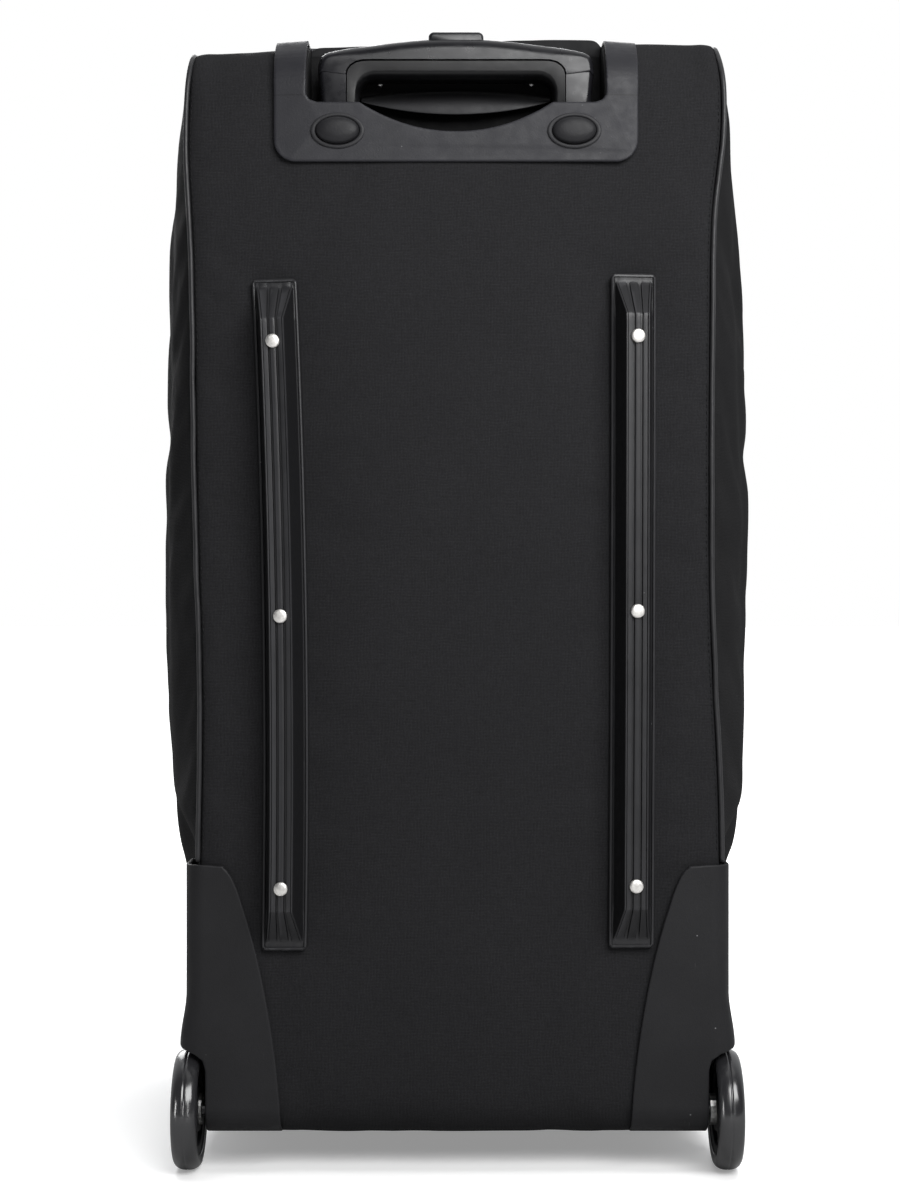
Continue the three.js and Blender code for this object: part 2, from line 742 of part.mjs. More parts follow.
// ---------------------------------------------------------------- tubes, lock pins, push rods
const LOCK_PIN_Z = 136;
const ROD_LOW = 128;
const ROD_HIGH = 789.6;

const middleCollar = (x) =>
  tubeBar(TUBE_OUTER, [744.5, 751], x).subtract(tubePassage(TUBE_INNER, [730, 760], x));

function innerTube(x, sign) {
  const pinHole = moved(barX(2.2, [-4, 4], 12), x + sign * 9, TUBE_DEPTH, LOCK_PIN_Z);
  return tube(TUBE_INNER, [126, 770], x).subtract(pinHole);
}

function lockPin(sign) {
  const profile = [[0, 0], [1.8, 0], [1.8, 4.1], [1.2, 4.6], [0, 4.6]];
  const geometry = geometryOf(lathe(profile, 12));
  if (sign < 0) geometry.rotateZ(Math.PI);
  return geometry;
}

for (const [side, sign] of SIDES) {
  const x = sign * TUBE_X;
  put("outer_tube_" + side, tube(TUBE_OUTER, [80, 740.6], x), MATERIALS.alloy);
  put("middle_tube_" + side, tube(TUBE_MIDDLE, [110, 744], x), MATERIALS.alloy);
  put("middle_collar_" + side, middleCollar(x), MATERIALS.plastic);
  put("inner_tube_" + side, innerTube(x, sign), MATERIALS.alloy);
  const pin = put("lock_pin_" + side, lockPin(sign), MATERIALS.steel);
  pin.position.set(x + sign * 3.8, TUBE_DEPTH, LOCK_PIN_Z);
  const rod = put("push_rod_" + side, barZ(2, ROD_HIGH - ROD_LOW, 10), MATERIALS.steel);
  rod.position.set(x, TUBE_DEPTH, (ROD_HIGH + ROD_LOW) / 2);
}

// Holds both tubes at the bottom.
const tubeBaseBracket = () =>
  cut(
    join(
      ...boxPair([67, 99], [8.6, 29], [64, 98]),
      box(within(67), [8.6, 12], [68, 94]),
    ),
    ...SIDES.map(([, sign]) => tubePassage(TUBE_OUTER, [79, 140], sign * TUBE_X)),
  );
put("tube_base_bracket", tubeBaseBracket(), MATERIALS.plastic);

// ---------------------------------------------------------------- grip
const GRIP_BACK = 4;
const GRIP_FRONT = 32;
const gripDepths = (inset) => [GRIP_BACK + inset, GRIP_FRONT - inset];

// Outlines from the back: x, z. The outer and inner lists are each mirrored across x = 0.
const COVER_OUTER = [[-78.2, 775.4], [-96.8, 775.4], [-97.4, 781], [-96, 785.5]];
const COVER_INNER = [[77.6, 778.6], [75.4, 781.6], [72, 783.6], [68, 784.4]];
const LINER_LOWER = [
  [-77.9, 752], [-69, 752], [-69, 764], [-67.6, 769], [-64, 772.6], [-58, 773.8],
];
const LINER_UPPER = [[77.9, 775], [77.2, 778.2], [75.2, 781.2], [71.9, 783.2], [68, 784]];
const LEG = [[-96.4, 775], [-95, 752], [-78.3, 752], [-78.3, 775]];

const springWell = barZ(5.4, 16, 12, 0, TUBE_DEPTH, 784.4);

// Room for the end of an inner tube, and for the rod above it.
const tubeEndRoom = (sign) => [
  tubePassage(TUBE_INNER, [740, 770.4], sign * TUBE_X),
  tubeBar([7, 7], [760, 790], sign * TUBE_X),
];

function gripCover() {
  const arch = [];
  for (let i = 0; i <= 12; i++) {
    const x = -92 + (184 * i) / 12;
    arch.push([x, 802.4 - 13.5 * Math.abs(x / 90) ** 2.2]);
  }
  const outline = [
    ...COVER_OUTER, ...arch, ...mirrored(COVER_OUTER),
    ...COVER_INNER, ...mirrored(COVER_INNER),
  ];
  return cut(
    prism(outline, "y", gripDepths(0), 3),
    box(within(88), [12.5, 23.5], [785.6, 795.2]), // yoke
    box(within(16.4), [11.4, 24.6], [785.6, 830]), // button well
    box(within(19), [9, 27], [795.3, 830]), // button head
    springWell,
    ...SIDES.map(([, sign]) => barZ(2.6, 30, 10, sign * TUBE_X, TUBE_DEPTH, 780)),
  );
}

function gripLiner() {
  const outline = [
    ...LINER_LOWER, ...mirrored(LINER_LOWER),
    ...LINER_UPPER, ...mirrored(LINER_UPPER),
  ];
  return cut(
    prism(outline, "y", gripDepths(0.6), 1.6),
    springWell,
    ...SIDES.flatMap(([, sign]) => tubeEndRoom(sign)),
  );
}

const gripLeg = () => cut(prism(LEG, "y", gripDepths(0.3), 2.4), ...tubeEndRoom(-1));

put("grip_cover", gripCover(), MATERIALS.grip);
put("grip_liner", gripLiner(), MATERIALS.grip);
putPair("grip_leg", gripLeg(), MATERIALS.grip);

// ---------------------------------------------------------------- release button and spring
// The yoke's ends sit over the two push rods.
const releaseButton = () =>
  join(
    prism(roundRect(within(18.5), [9.6, 26.4], 4, 3), "z", [799.8, 806.8]), // head
    box(within(15.6), [12.2, 23.8], [791, 801]), // stem
    box(within(87), [13.6, 22.4], [790, 793.6]), // yoke
  );

const SPRING = { turns: 4, stepsPerTurn: 8, radius: 3.8, wireRadius: 0.6, low: 777.4, high: 789 };

function buttonSpring() {
  const { turns, stepsPerTurn, radius, wireRadius, low, high } = SPRING;
  const steps = turns * stepsPerTurn;
  const path = [];
  for (let i = 0; i <= steps; i++) {
    const angle = (i / stepsPerTurn) * 2 * Math.PI;
    path.push(new THREE.Vector3(
      radius * Math.cos(angle),
      TUBE_DEPTH + radius * Math.sin(angle),
      low + ((high - low) * i) / steps,
    ));
  }
  const wire = [];
  for (let i = 0; i < 4; i++) {
    const angle = (i * Math.PI) / 2;
    wire.push([wireRadius * Math.cos(angle), wireRadius * Math.sin(angle)]);
  }
  return solidOf(new THREE.ExtrudeGeometry(new THREE.Shape(vectors(wire)), {
    steps,
    extrudePath: new THREE.CatmullRomCurve3(path),
    bevelEnabled: false,
  }));
}

put("release_button", releaseButton(), MATERIALS.grip);
put("button_spring", buttonSpring(), MATERIALS.steel);

// ---------------------------------------------------------------- skid rails and rivets
// In the rail's own frame: x across, -y away from the bag, z along.
const RAIL_LEN = 473;
const RAIL_W = 31;
const RAIL_H = 23.2;
const RAIL_DEPTH = -5.6;
const RAIL_TURN = degToRad(4); // each rail faces outwards by this much

// A block tapering between two rectangles, each [width, length, height off the bag].
function frustum(...ends) {
  const positions = [];
  for (const [width, length, height] of ends) {
    for (const [across, along] of [[-1, -1], [1, -1], [1, 1], [-1, 1]]) {
      positions.push((across * width) / 2, -height, (along * length) / 2);
    }
  }
  return facingOut(positions, [
    0, 2, 1, 0, 3, 2, 4, 5, 6, 4, 6, 7, 0, 1, 5, 0, 5, 4,
    1, 2, 6, 1, 6, 5, 2, 3, 7, 2, 7, 6, 3, 0, 4, 3, 4, 7,
  ]);
}

function skidRail() {
  const plate = roundRect(within(RAIL_W / 2), within(RAIL_LEN / 2), 4, 3);
  const beadInside = roundRect(within(RAIL_W / 2 - 2.4), within(RAIL_LEN / 2 - 2.6), 2.4, 3);
  const flange = prism(plate, "y", [-2, 0]);
  const bead = prism(plate, "y", [-3, 0]).subtract(prism(beadInside, "y", [-10, 5]));
  const ridge = frustum([25.6, 466, 0.5], [14.6, 413, RAIL_H]);
  const hollow = frustum([19.5, 456, -1], [9, 406, RAIL_H - 2.4]);
  const grooves = within(2.9).map((x) =>
    box([x - 0.8, x + 0.8], [-RAIL_H - 1, -RAIL_H + 1.3], within(240)));
  const holes = RIVETS.map(([, along]) => barY(3, [-RAIL_H - 2, 5], 0, along));
  return cut(join(flange, bead, ridge), hollow, ...grooves, ...holes);
}

// Domed head on the ridge, shank through rail, cloth and board, clenched tail inside.
function railRivet() {
  const profile = [ // radius, y
    [0, -RAIL_H - 2.6], [3.2, -RAIL_H - 2.2], [4.9, -RAIL_H - 0.3], [2.4, -RAIL_H - 0.3],
    [2.4, 14.4], [5.2, 14.4], [5.2, 15.9], [0, 15.9],
  ];
  return solidOf(new THREE.LatheGeometry(vectors(profile), 10));
}

const rail = skidRail();
const rivet = railRivet();
for (const [side, sign] of SIDES) {
  const { x, z, lean } = RAILS[side];
  const group = new THREE.Group();
  group.position.set(x, RAIL_DEPTH, z);
  group.rotation.set(0, sign * degToRad(lean), sign * RAIL_TURN, "YXZ");
  bag.add(group);
  put("skid_rail_" + side, rail, MATERIALS.plastic, group);
  for (const [place, along] of RIVETS) {
    const mesh = put("rail_rivet_" + side + "_" + place, rivet, MATERIALS.steel, group);
    mesh.position.z = along;
  }
}

// ---------------------------------------------------------------- wheels
// Profiles are [radius, x from the wheel's centre plane], with -x away from the bag.
const HALF_W = WHEEL_W / 2;
const HUB_R = 31;
const HUB_FIT = 0.12;
const BEARING_R = 11;
const BEARING_HALF = 9.8;
const BEARING_SIDES = 16;

function tyre() {
  const profile = [
    [HUB_R, -HALF_W + 2], [36, -HALF_W], [40, -HALF_W + 3], [WHEEL_R, -4],
    [WHEEL_R, 4], [40, HALF_W - 3], [36, HALF_W], [HUB_R, HALF_W - 2],
    [HUB_R, -HALF_W + 2],
  ];
  return lathe(profile, WHEEL_SIDES);
}

// A thin web between two thick rims, with five holes round the web.
function wheelHub() {
  const inside = BEARING_R + HUB_FIT;
  const outside = HUB_R - HUB_FIT;
  const profile = [
    [inside, -HALF_W + 1], [15, -HALF_W + 1], [16, -2.5], [26.5, -2.5],
    [27, -HALF_W + 2.4], [outside, -HALF_W + 2.4], [outside, HALF_W - 2.4],
    [27, HALF_W - 2.4], [26.5, 2.5], [16, 2.5], [15, HALF_W - 1], [inside, HALF_W - 1],
    [inside, -HALF_W + 1],
  ];
  const holes = [];
  for (let i = 0; i < 5; i++) {
    const angle = (i / 5) * 2 * Math.PI;
    const hole = barX(4.2, [-20, 20], 6);
    holes.push(moved(hole, 0, 20.8 * Math.cos(angle), 20.8 * Math.sin(angle)));
  }
  return cut(lathe(profile, WHEEL_SIDES), ...holes);
}

function wheelBearing() {
  const bore = (AXLE_R + 0.1) / Math.cos(Math.PI / BEARING_SIDES); // its flats clear the axle
  const profile = [
    [bore, -BEARING_HALF], [BEARING_R, -BEARING_HALF], [BEARING_R, BEARING_HALF],
    [bore, BEARING_HALF], [bore, -BEARING_HALF],
  ];
  return lathe(profile, BEARING_SIDES);
}

// Head outside the wheel, shank, shoulder against the housing wall, nut inside the housing.
function axleBolt() {
  const profile = [
    [0, -16.2], [5.4, -15.4], [7.8, -11.6], [AXLE_R, -11.6],
    [AXLE_R, 10.4], [6, 10.4], [6, 13.2], [AXLE_R, 13.2],
    [AXLE_R, 16.9], [6.6, 16.9], [6.6, 22.4], [0, 22.4],
  ];
  return lathe(profile, 12);
}

const WHEEL_PARTS = [ // name, solid, material, turn about the axle
  ["tyre_", tyre(), MATERIALS.tyre, Math.PI / WHEEL_SIDES],
  ["wheel_hub_", wheelHub(), MATERIALS.hub, Math.PI / WHEEL_SIDES],
  ["wheel_bearing_", wheelBearing(), MATERIALS.steel, 0],
  ["axle_bolt_", axleBolt(), MATERIALS.steel, 0],
];
for (const [side, sign] of SIDES) {
  const group = new THREE.Group();
  group.position.set(sign * WHEEL_X, AXLE_DEPTH, AXLE_Z);
  if (sign > 0) group.rotation.z = Math.PI;
  bag.add(group);
  for (const [name, part, material, turn] of WHEEL_PARTS) {
    put(name + side, part, material, group).rotation.x = turn;
  }
}

// ---------------------------------------------------------------- lid, pocket and zip sliders
const POCKET_X = 112;
const POCKET_LOW = 128;
const POCKET_HIGH = 560;

function frontPocket() {
  const fullness = (along, across) =>
    (1 - Math.abs(2 * across - 1) ** 5) * (1 - Math.abs(2 * along - 1) ** 4);
  const face = (lift) => (along, across) => {
    const x = -POCKET_X + 2 * POCKET_X * across;
    const z = POCKET_LOW + (POCKET_HIGH - POCKET_LOW) * along;
    return [x, frontSurface(x, z) + lift(along, across), z];
  };
  return sheet(8, 6, face((along, across) => 3 + 14 * fullness(along, across)), face(() => 1));
}

// Slider body lying on the cloth, with its pull tab hanging from it, turned about Y... upright
// in its own frame and then turned about Z-up's front-to-back axis.
function zipSlider(turn) {
  const slider = join(
    prism(roundRect(within(5), within(6.5), 2, 2), "y", [0, 3.2]),
    prism(roundRect(within(3.4), [-34, -3], 2.4, 2), "y", [3, 5]),
  );
  return geometryOf(slider).rotateY(turn);
}

put("lid_panel", frontCloth.intersect(lidShape(PANEL_GAP)), MATERIALS.fabric);
put("front_pocket", frontPocket(), MATERIALS.fabric);

const lidZipDepth = frontSurface(LID_X, 411) + 1.2;
const SLIDERS = [ // name, turn, position
  ["lid_zip_slider_upper", 0, [-LID_X, lidZipDepth, 437]],
  ["lid_zip_slider_lower", 0, [-LID_X, lidZipDepth, 396]],
  ["pocket_zip_slider", Math.PI / 2, [-84, frontSurface(0, 590) + 1.4, 590]],
];
for (const [name, turn, position] of SLIDERS) {
  put(name, zipSlider(turn), MATERIALS.slider).position.set(...position);
}

// ---------------------------------------------------------------- carry handles
const HANDLE_DEPTH = 200;

// A padded bar along z, its width along x.
function paddedBar(length, width, thickness) {
  const endBevel = 3;
  const core = length - 2 * endBevel;
  const section = roundRect(within(width / 2), within(thickness / 2), 3, 3);
  const geometry = new THREE.ExtrudeGeometry(new THREE.Shape(vectors(section)), {
    depth: core,
    bevelEnabled: true,
    bevelThickness: endBevel,
    bevelSize: 2,
    bevelOffset: -2,
    bevelSegments: 1,
  });
  return geometry.translate(0, 0, -core / 2);
}

const topHandle = paddedBar(150, 30, 9);
topHandle.rotateY(Math.PI / 2); // length to X, width to Z
topHandle.rotateX(Math.PI / 2); // width to Y
put("top_handle", solidOf(topHandle), MATERIALS.webbing).position.set(0, HANDLE_DEPTH, 811.6);

const sideHandle = paddedBar(136, 28, 8);
sideHandle.rotateZ(Math.PI / 2); // width to Y, thickness to X
for (const [side, sign] of SIDES) {
  const mesh = put("side_handle_" + side, solidOf(sideHandle), MATERIALS.webbing);
  mesh.position.set(sign * 225.4, HANDLE_DEPTH, 430);
}

export default root;
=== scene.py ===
"""Looks of a rolling duffel bag that stands on its wheels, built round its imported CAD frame.

Lengths are millimetres until new_object() turns them into metres, except in materials, lights
and modifiers. x runs across the bag, left is -x, and z is up from the floor. y is the depth from
the seam line of the wheeled back (0) towards the lid (DEPTH); new_object() moves it by FRAME_Y0.
"""
import math
from contextlib import contextmanager
from math import cos, pi, radians, sin, sqrt

import bmesh
import bpy
import numpy as np
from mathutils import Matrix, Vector


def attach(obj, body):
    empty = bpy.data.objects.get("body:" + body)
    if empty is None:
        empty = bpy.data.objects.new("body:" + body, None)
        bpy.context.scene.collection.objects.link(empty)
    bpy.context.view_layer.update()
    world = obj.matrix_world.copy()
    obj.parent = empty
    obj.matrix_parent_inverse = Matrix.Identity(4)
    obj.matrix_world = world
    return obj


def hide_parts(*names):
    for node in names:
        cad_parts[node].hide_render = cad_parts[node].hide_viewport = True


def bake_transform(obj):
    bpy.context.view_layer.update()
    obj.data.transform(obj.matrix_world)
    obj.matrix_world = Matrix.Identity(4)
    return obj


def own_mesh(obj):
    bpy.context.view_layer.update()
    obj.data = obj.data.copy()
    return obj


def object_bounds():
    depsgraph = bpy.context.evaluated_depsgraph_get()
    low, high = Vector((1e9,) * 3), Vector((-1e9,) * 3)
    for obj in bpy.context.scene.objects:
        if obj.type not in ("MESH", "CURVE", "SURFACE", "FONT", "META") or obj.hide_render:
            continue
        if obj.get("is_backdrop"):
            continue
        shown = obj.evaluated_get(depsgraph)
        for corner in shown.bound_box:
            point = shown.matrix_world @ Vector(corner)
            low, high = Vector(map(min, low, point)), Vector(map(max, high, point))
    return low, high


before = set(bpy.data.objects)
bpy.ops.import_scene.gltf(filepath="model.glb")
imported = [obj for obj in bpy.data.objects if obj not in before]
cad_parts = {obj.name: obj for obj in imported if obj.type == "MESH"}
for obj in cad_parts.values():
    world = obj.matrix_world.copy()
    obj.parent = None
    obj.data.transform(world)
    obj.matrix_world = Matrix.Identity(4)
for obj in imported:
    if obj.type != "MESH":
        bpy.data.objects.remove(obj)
CAD_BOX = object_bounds()
scene = bpy.context.scene

FRAME_Y0 = 162.8  # depth of the frame's y = 0
BOTTOM, TOP, DEPTH = 25.0, 798.0, 330.0
BACK_BOTTOM_R, BACK_TOP_R, FRONT_R = 26.0, 36.0, 42.0  # corners of the profile
BASE_Y = 56  # where the back cloth meets the base cloth
AXLE = (14.0, 42.136)  # y, z
INSIDE = (0, 165, 400)  # a point inside the bag
SIDES = ((-1, "left"), (1, "right"))
WELL_X, WELL_Y, WELL_Z = 168, 74, 99  # the cloth is cut away round the wheels
HANDLE_Y = 200  # depth of the three carry handles
SIDE_HANDLE_Z = 430
POCKET_ZIP_Z = 590


# ------------------------------------------------------------------ small maths
def lattice(ix, iy, seed):
    """Random value from -1 to 1 at each whole-numbered point."""
    bits = ix.astype(np.int64) * 374761393 + iy.astype(np.int64) * 668265263 + seed * 974634777
    bits = bits & 0xFFFFFFFF
    bits = ((bits ^ (bits >> 13)) * 1274126177) & 0xFFFFFFFF
    return ((bits ^ (bits >> 16)) & 0xFFFF) / 65535.0 * 2 - 1


def noise2(x, y, seed):
    """Smooth noise in about -1..1 with features one unit across."""
    x, y = np.broadcast_arrays(np.asarray(x, float), np.asarray(y, float))
    ix, iy = np.floor(x), np.floor(y)
    ease_x, ease_y = smooth(x - ix), smooth(y - iy)
    low = lattice(ix, iy, seed) * (1 - ease_x) + lattice(ix + 1, iy, seed) * ease_x
    high = lattice(ix, iy + 1, seed) * (1 - ease_x) + lattice(ix + 1, iy + 1, seed) * ease_x
    return low * (1 - ease_y) + high * ease_y


def smooth(value):
    """Eased step from 0 to 1."""
    value = np.clip(value, 0, 1)
    return value * value * (3 - 2 * value)


def signed_power(value, power):
    return math.copysign(abs(value) ** power, value)


def curve(xs, ys):
    """A smooth cubic line through points, as a function."""
    xs, ys = np.asarray(xs, float), np.asarray(ys, float)
    slope = np.gradient(ys, xs)

    def value_at(x):
        x = np.clip(np.asarray(x, float), xs[0], xs[-1])
        k = np.clip(np.searchsorted(xs, x) - 1, 0, len(xs) - 2)
        span = xs[k + 1] - xs[k]
        part = (x - xs[k]) / span
        return (
            (2 * part**3 - 3 * part**2 + 1) * ys[k]
            + (part**3 - 2 * part**2 + part) * span * slope[k]
            + (-2 * part**3 + 3 * part**2) * ys[k + 1]
            + (part**3 - part**2) * span * slope[k + 1]
        )

    return value_at


# ------------------------------------------------------------------ lines and outlines
def lengths_along(points):
    steps = np.linalg.norm(np.diff(np.asarray(points, float), axis=0), axis=1)
    return np.concatenate([[0], np.cumsum(steps)])


def at_length(points, lengths, where):
    return np.stack([np.interp(where, lengths, column) for column in points.T], -1)


def resample(points, step, closed=True):
    """The line again, with even steps of about the given length."""
    points = np.asarray(points, float)
    if closed:
        points = np.vstack([points, points[:1]])
    lengths = lengths_along(points)
    count = max(3, round(lengths[-1] / step))
    even = at_length(points, lengths, np.linspace(0, lengths[-1], count + 1))
    return even[:-1] if closed else even


def spline(points, count):
    points = np.asarray(points, float)
    lengths = lengths_along(points)
    where = np.linspace(0, lengths[-1], count)
    return np.stack([curve(lengths, column)(where) for column in points.T], 1)


def line_normals(points, closed):
    """Normals in the plane, outwards for an anticlockwise outline."""
    if closed:
        tangent = np.roll(points, -1, axis=0) - np.roll(points, 1, axis=0)
    else:
        tangent = np.gradient(points, axis=0)
    tangent /= np.linalg.norm(tangent, axis=1)[:, None]
    return np.stack([tangent[:, 1], -tangent[:, 0]], 1)


def turning(outline):
    """Positive for an anticlockwise outline."""
    x, z = outline.T
    return np.sum(x * np.roll(z, -1) - np.roll(x, -1) * z)


def anticlockwise(outline):
    outline = np.asarray(outline, float)
    return outline if turning(outline) > 0 else outline[::-1]


def offset_outline(outline, inset):
    """Moves each corner of an anticlockwise outline inwards, by one inset or one per corner."""
    points = np.asarray(outline, float)
    before = points - np.roll(points, 1, axis=0)
    after = np.roll(points, -1, axis=0) - points
    before /= np.linalg.norm(before, axis=1)[:, None] + 1e-12
    after /= np.linalg.norm(after, axis=1)[:, None] + 1e-12
    normal = np.stack([-before[:, 1], before[:, 0]], 1)
    middle = normal + np.stack([-after[:, 1], after[:, 0]], 1)
    middle /= np.linalg.norm(middle, axis=1)[:, None] + 1e-12
    stretch = 1 / np.maximum(0.6, (middle * normal).sum(1))
    return points + middle * (np.asarray(inset, float) * stretch)[:, None]


def mirror(points):
    return [(-x, z) for x, z in points]


def circle(radius, count, radius_up=None):
    radius_up = radius if radius_up is None else radius_up
    angles = [2 * pi * i / count for i in range(count)]
    return [(radius * cos(angle), radius_up * sin(angle)) for angle in angles]


def round_rect(x0, x1, y0, y1, radii, steps=8):
    """Anticlockwise from the low left corner; radii is one number, or four in that order."""
    radii = radii if isinstance(radii, list) else [radii] * 4
    points = []
    for x, y, radius, start in (
        (x0 + radii[0], y0 + radii[0], radii[0], pi),
        (x1 - radii[1], y0 + radii[1], radii[1], -pi / 2),
        (x1 - radii[2], y1 - radii[2], radii[2], 0),
        (x0 + radii[3], y1 - radii[3], radii[3], pi / 2),
    ):
        if radius <= 0.01:
            points.append((x, y))
            continue
        for i in range(steps + 1):
            angle = start + i / steps * pi / 2
            points.append((x + radius * cos(angle), y + radius * sin(angle)))
    return points


# ------------------------------------------------------------------ shapes: verts, faces, uv
def grid_faces(rows, columns, wrap_u=False, wrap_v=False):
    faces = []
    for i in range(rows if wrap_u else rows - 1):
        for j in range(columns if wrap_v else columns - 1):
            i2, j2 = (i + 1) % rows, (j + 1) % columns
            faces.append((i * columns + j, i2 * columns + j, i2 * columns + j2, i * columns + j2))
    return faces


def end_caps(rings, count, first_forward=False):
    first = list(range(count))
    last = [(rings - 1) * count + i for i in first]
    (last if first_forward else first).reverse()
    return [tuple(first), tuple(last)]


def capped_faces(rings, count, first_forward=False):
    """Faces of a stack of rings with both ends closed."""
    return grid_faces(rings, count, wrap_v=True) + end_caps(rings, count, first_forward)


def blank(verts, faces):
    """A shape whose UVs are all zero."""
    return verts, faces, [(0, 0)] * len(verts)


def sheet(points):
    """Shape of a grid of points, its UVs in metres of cloth measured from the middle column."""
    across, along = np.zeros(points.shape[:2]), np.zeros(points.shape[:2])
    along[1:] = np.cumsum(np.linalg.norm(np.diff(points, axis=0), axis=2), axis=0)
    across[:, 1:] = np.cumsum(np.linalg.norm(np.diff(points, axis=1), axis=2), axis=1)
    middle = points.shape[1] // 2
    across = across - across[:, middle, None]
    along = along[:, middle, None] + 0 * along
    uv = np.stack([across, along], axis=2) / 1000.0
    return points.reshape(-1, 3), grid_faces(*points.shape[:2]), uv.reshape(-1, 2)


def frames_along(points, up_hint):
    """(point, side, up) along a line, up as near as it can be to up_hint (one or one each)."""
    points = np.asarray(points, float)
    tangents = np.gradient(points, axis=0)
    tangents /= np.linalg.norm(tangents, axis=1)[:, None]
    frames = []
    for point, tangent, hint in zip(points, tangents, np.broadcast_to(up_hint, points.shape)):
        side = np.cross(tangent, hint)
        side /= np.linalg.norm(side)
        frames.append((point, side, np.cross(side, tangent)))
    return frames


def tube(frames, section):
    """Sweeps a section of (side, up) points along frames."""
    verts = [point + side * a + up * b for point, side, up in frames for a, b in section]
    along = lengths_along([point for point, _, _ in frames])
    around = lengths_along(section)
    uv = [(a / 1000, b / 1000) for b in along for a in around]
    return verts, capped_faces(len(frames), len(section)), uv


def lathe(profile, count, start, around, closed=True, axis="x"):
    """Turns (radius, place along the axis) about an axis along x or y that passes through
    around, which is (y, z) or (x, z). start is the place of the profile's zero."""
    verts, uv = [], []
    for i in range(count):
        angle = 2 * pi * i / count
        for radius, along in profile:
            a, b = around[0] + radius * cos(angle), around[1] + radius * sin(angle)
            verts.append((start + along, a, b) if axis == "x" else (a, start + along, b))
            uv.append((angle * radius / 1000, along / 1000))
    return verts, grid_faces(count, len(profile), wrap_u=True, wrap_v=closed), uv


def join_shapes(shapes):
    verts, faces, uv = [], [], []
    for part_verts, part_faces, part_uv in shapes:
        first = len(verts)
        verts += list(part_verts)
        faces += [tuple(i + first for i in face) for face in part_faces]
        uv += list(part_uv)
    return verts, faces, uv


def prism(outline, axis, start, end):
    """Pushes an outline along an axis. It is (x, z) for y, (y, z) for x and (x, y) for z."""
    verts = []
    for along in (start, end):
        for a, b in outline:
            place = {"x": (along, a, b), "y": (a, along, b), "z": (a, b, along)}
            verts.append(place[axis])
    n = len(outline)
    faces = [tuple(range(n)), tuple(range(2 * n - 1, n - 1, -1))]
    faces += [(i, n + i, n + (i + 1) % n, (i + 1) % n) for i in range(n)]
    return verts, faces


# ------------------------------------------------------------------ objects
@contextmanager
def editing(data):
    bm = bmesh.new()
    bm.from_mesh(data)
    yield bm
    bm.to_mesh(data)
    bm.free()
    data.update()


def new_object(name, verts, faces):
    metres = np.array(verts, float).reshape(-1, 3)
    metres[:, 1] -= FRAME_Y0
    metres /= 1000.0
    data = bpy.data.meshes.new(name)
    data.from_pydata(metres.tolist(), [], faces)
    data.update()
    ob = bpy.data.objects.new(name, data)
    scene.collection.objects.link(ob)
    return ob


def add_uv(ob, uv):
    layer = ob.data.uv_layers.new(name="UVMap")
    corners = np.zeros(len(ob.data.loops), int)
    ob.data.loops.foreach_get("vertex_index", corners)
    uv = np.asarray(uv, float).reshape(-1, 2)
    layer.data.foreach_set("uv", uv[corners].astype(np.float32).ravel())


def tidy(ob, sharp=None):
    """Merges doubles, shades smooth, and marks edges steeper than sharp degrees."""
    with editing(ob.data) as bm:
        bmesh.ops.remove_doubles(bm, verts=bm.verts, dist=1e-6)
        bmesh.ops.dissolve_degenerate(bm, edges=bm.edges, dist=1e-7)
        if all(edge.is_manifold for edge in bm.edges):
            bmesh.ops.recalc_face_normals(bm, faces=bm.faces)
        if sharp:
            for edge in bm.edges:
                if len(edge.link_faces) == 2:
                    edge.smooth = edge.calc_face_angle(0) < radians(sharp)
        for face in bm.faces:
            face.smooth = True


def add_mods(ob, mods):
    for kind, settings in mods:
        mod = ob.modifiers.new(kind.title(), kind)
        for key, value in settings.items():
            setattr(mod, key, value)


def finish_piece(ob, material, slot, body="bag", replaces=None, mods=()):
    add_mods(ob, mods)
    ob.data.materials.append(material)
    if body:
        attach(ob, body)
    if replaces:
        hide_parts(replaces)


def piece(name, verts, faces, uv=None, *, sharp=None, **finish):
    """A finished object; without uv it is mapped by x and z."""
    if uv is None:
        uv = np.asarray(verts, float)[:, [0, 2]] / 1000
    ob = new_object(name, verts, faces)
    add_uv(ob, uv)
    tidy(ob, sharp)
    finish_piece(ob, **finish)
    return ob


def face_away(ob, centre, flip=False):
    """Turns a sheet's faces away from a point, or towards it with flip."""
    x, y, z = centre
    origin = Vector((x, y - FRAME_Y0, z)) / 1000
    total = sum((f.center - origin).dot(f.normal) * f.area for f in ob.data.polygons)
    if (-total if flip else total) < 0:
        ob.data.flip_normals()


def sheet_object(name, points, centre=INSIDE):
    """An unfinished sheet that faces away from centre."""
    verts, faces, uv = sheet(points)
    ob = new_object(name, verts, faces)
    add_uv(ob, uv)
    tidy(ob)
    face_away(ob, centre)
    return ob


def apply_mods(ob):
    depsgraph = bpy.context.evaluated_depsgraph_get()
    new = bpy.data.meshes.new_from_object(
        ob.evaluated_get(depsgraph), preserve_all_data_layers=True, depsgraph=depsgraph
    )
    ob.modifiers.clear()
    old = ob.data
    ob.data = new
    bpy.data.meshes.remove(old)


def raw_solid(name, verts, faces):
    """A closed solid for boolean work."""
    ob = new_object(name, verts, faces)
    with editing(ob.data) as bm:
        bmesh.ops.remove_doubles(bm, verts=bm.verts, dist=1e-7)
        bmesh.ops.recalc_face_normals(bm, faces=bm.faces)
    return ob


def boolean(ob, cutter, operation="DIFFERENCE"):
    """Applies a boolean of cutter to ob and removes cutter."""
    mod = ob.modifiers.new("bool", "BOOLEAN")
    mod.operation = operation
    mod.solver = "EXACT"
    mod.object = cutter
    apply_mods(ob)
    data = cutter.data
    bpy.data.objects.remove(cutter)
    bpy.data.meshes.remove(data)


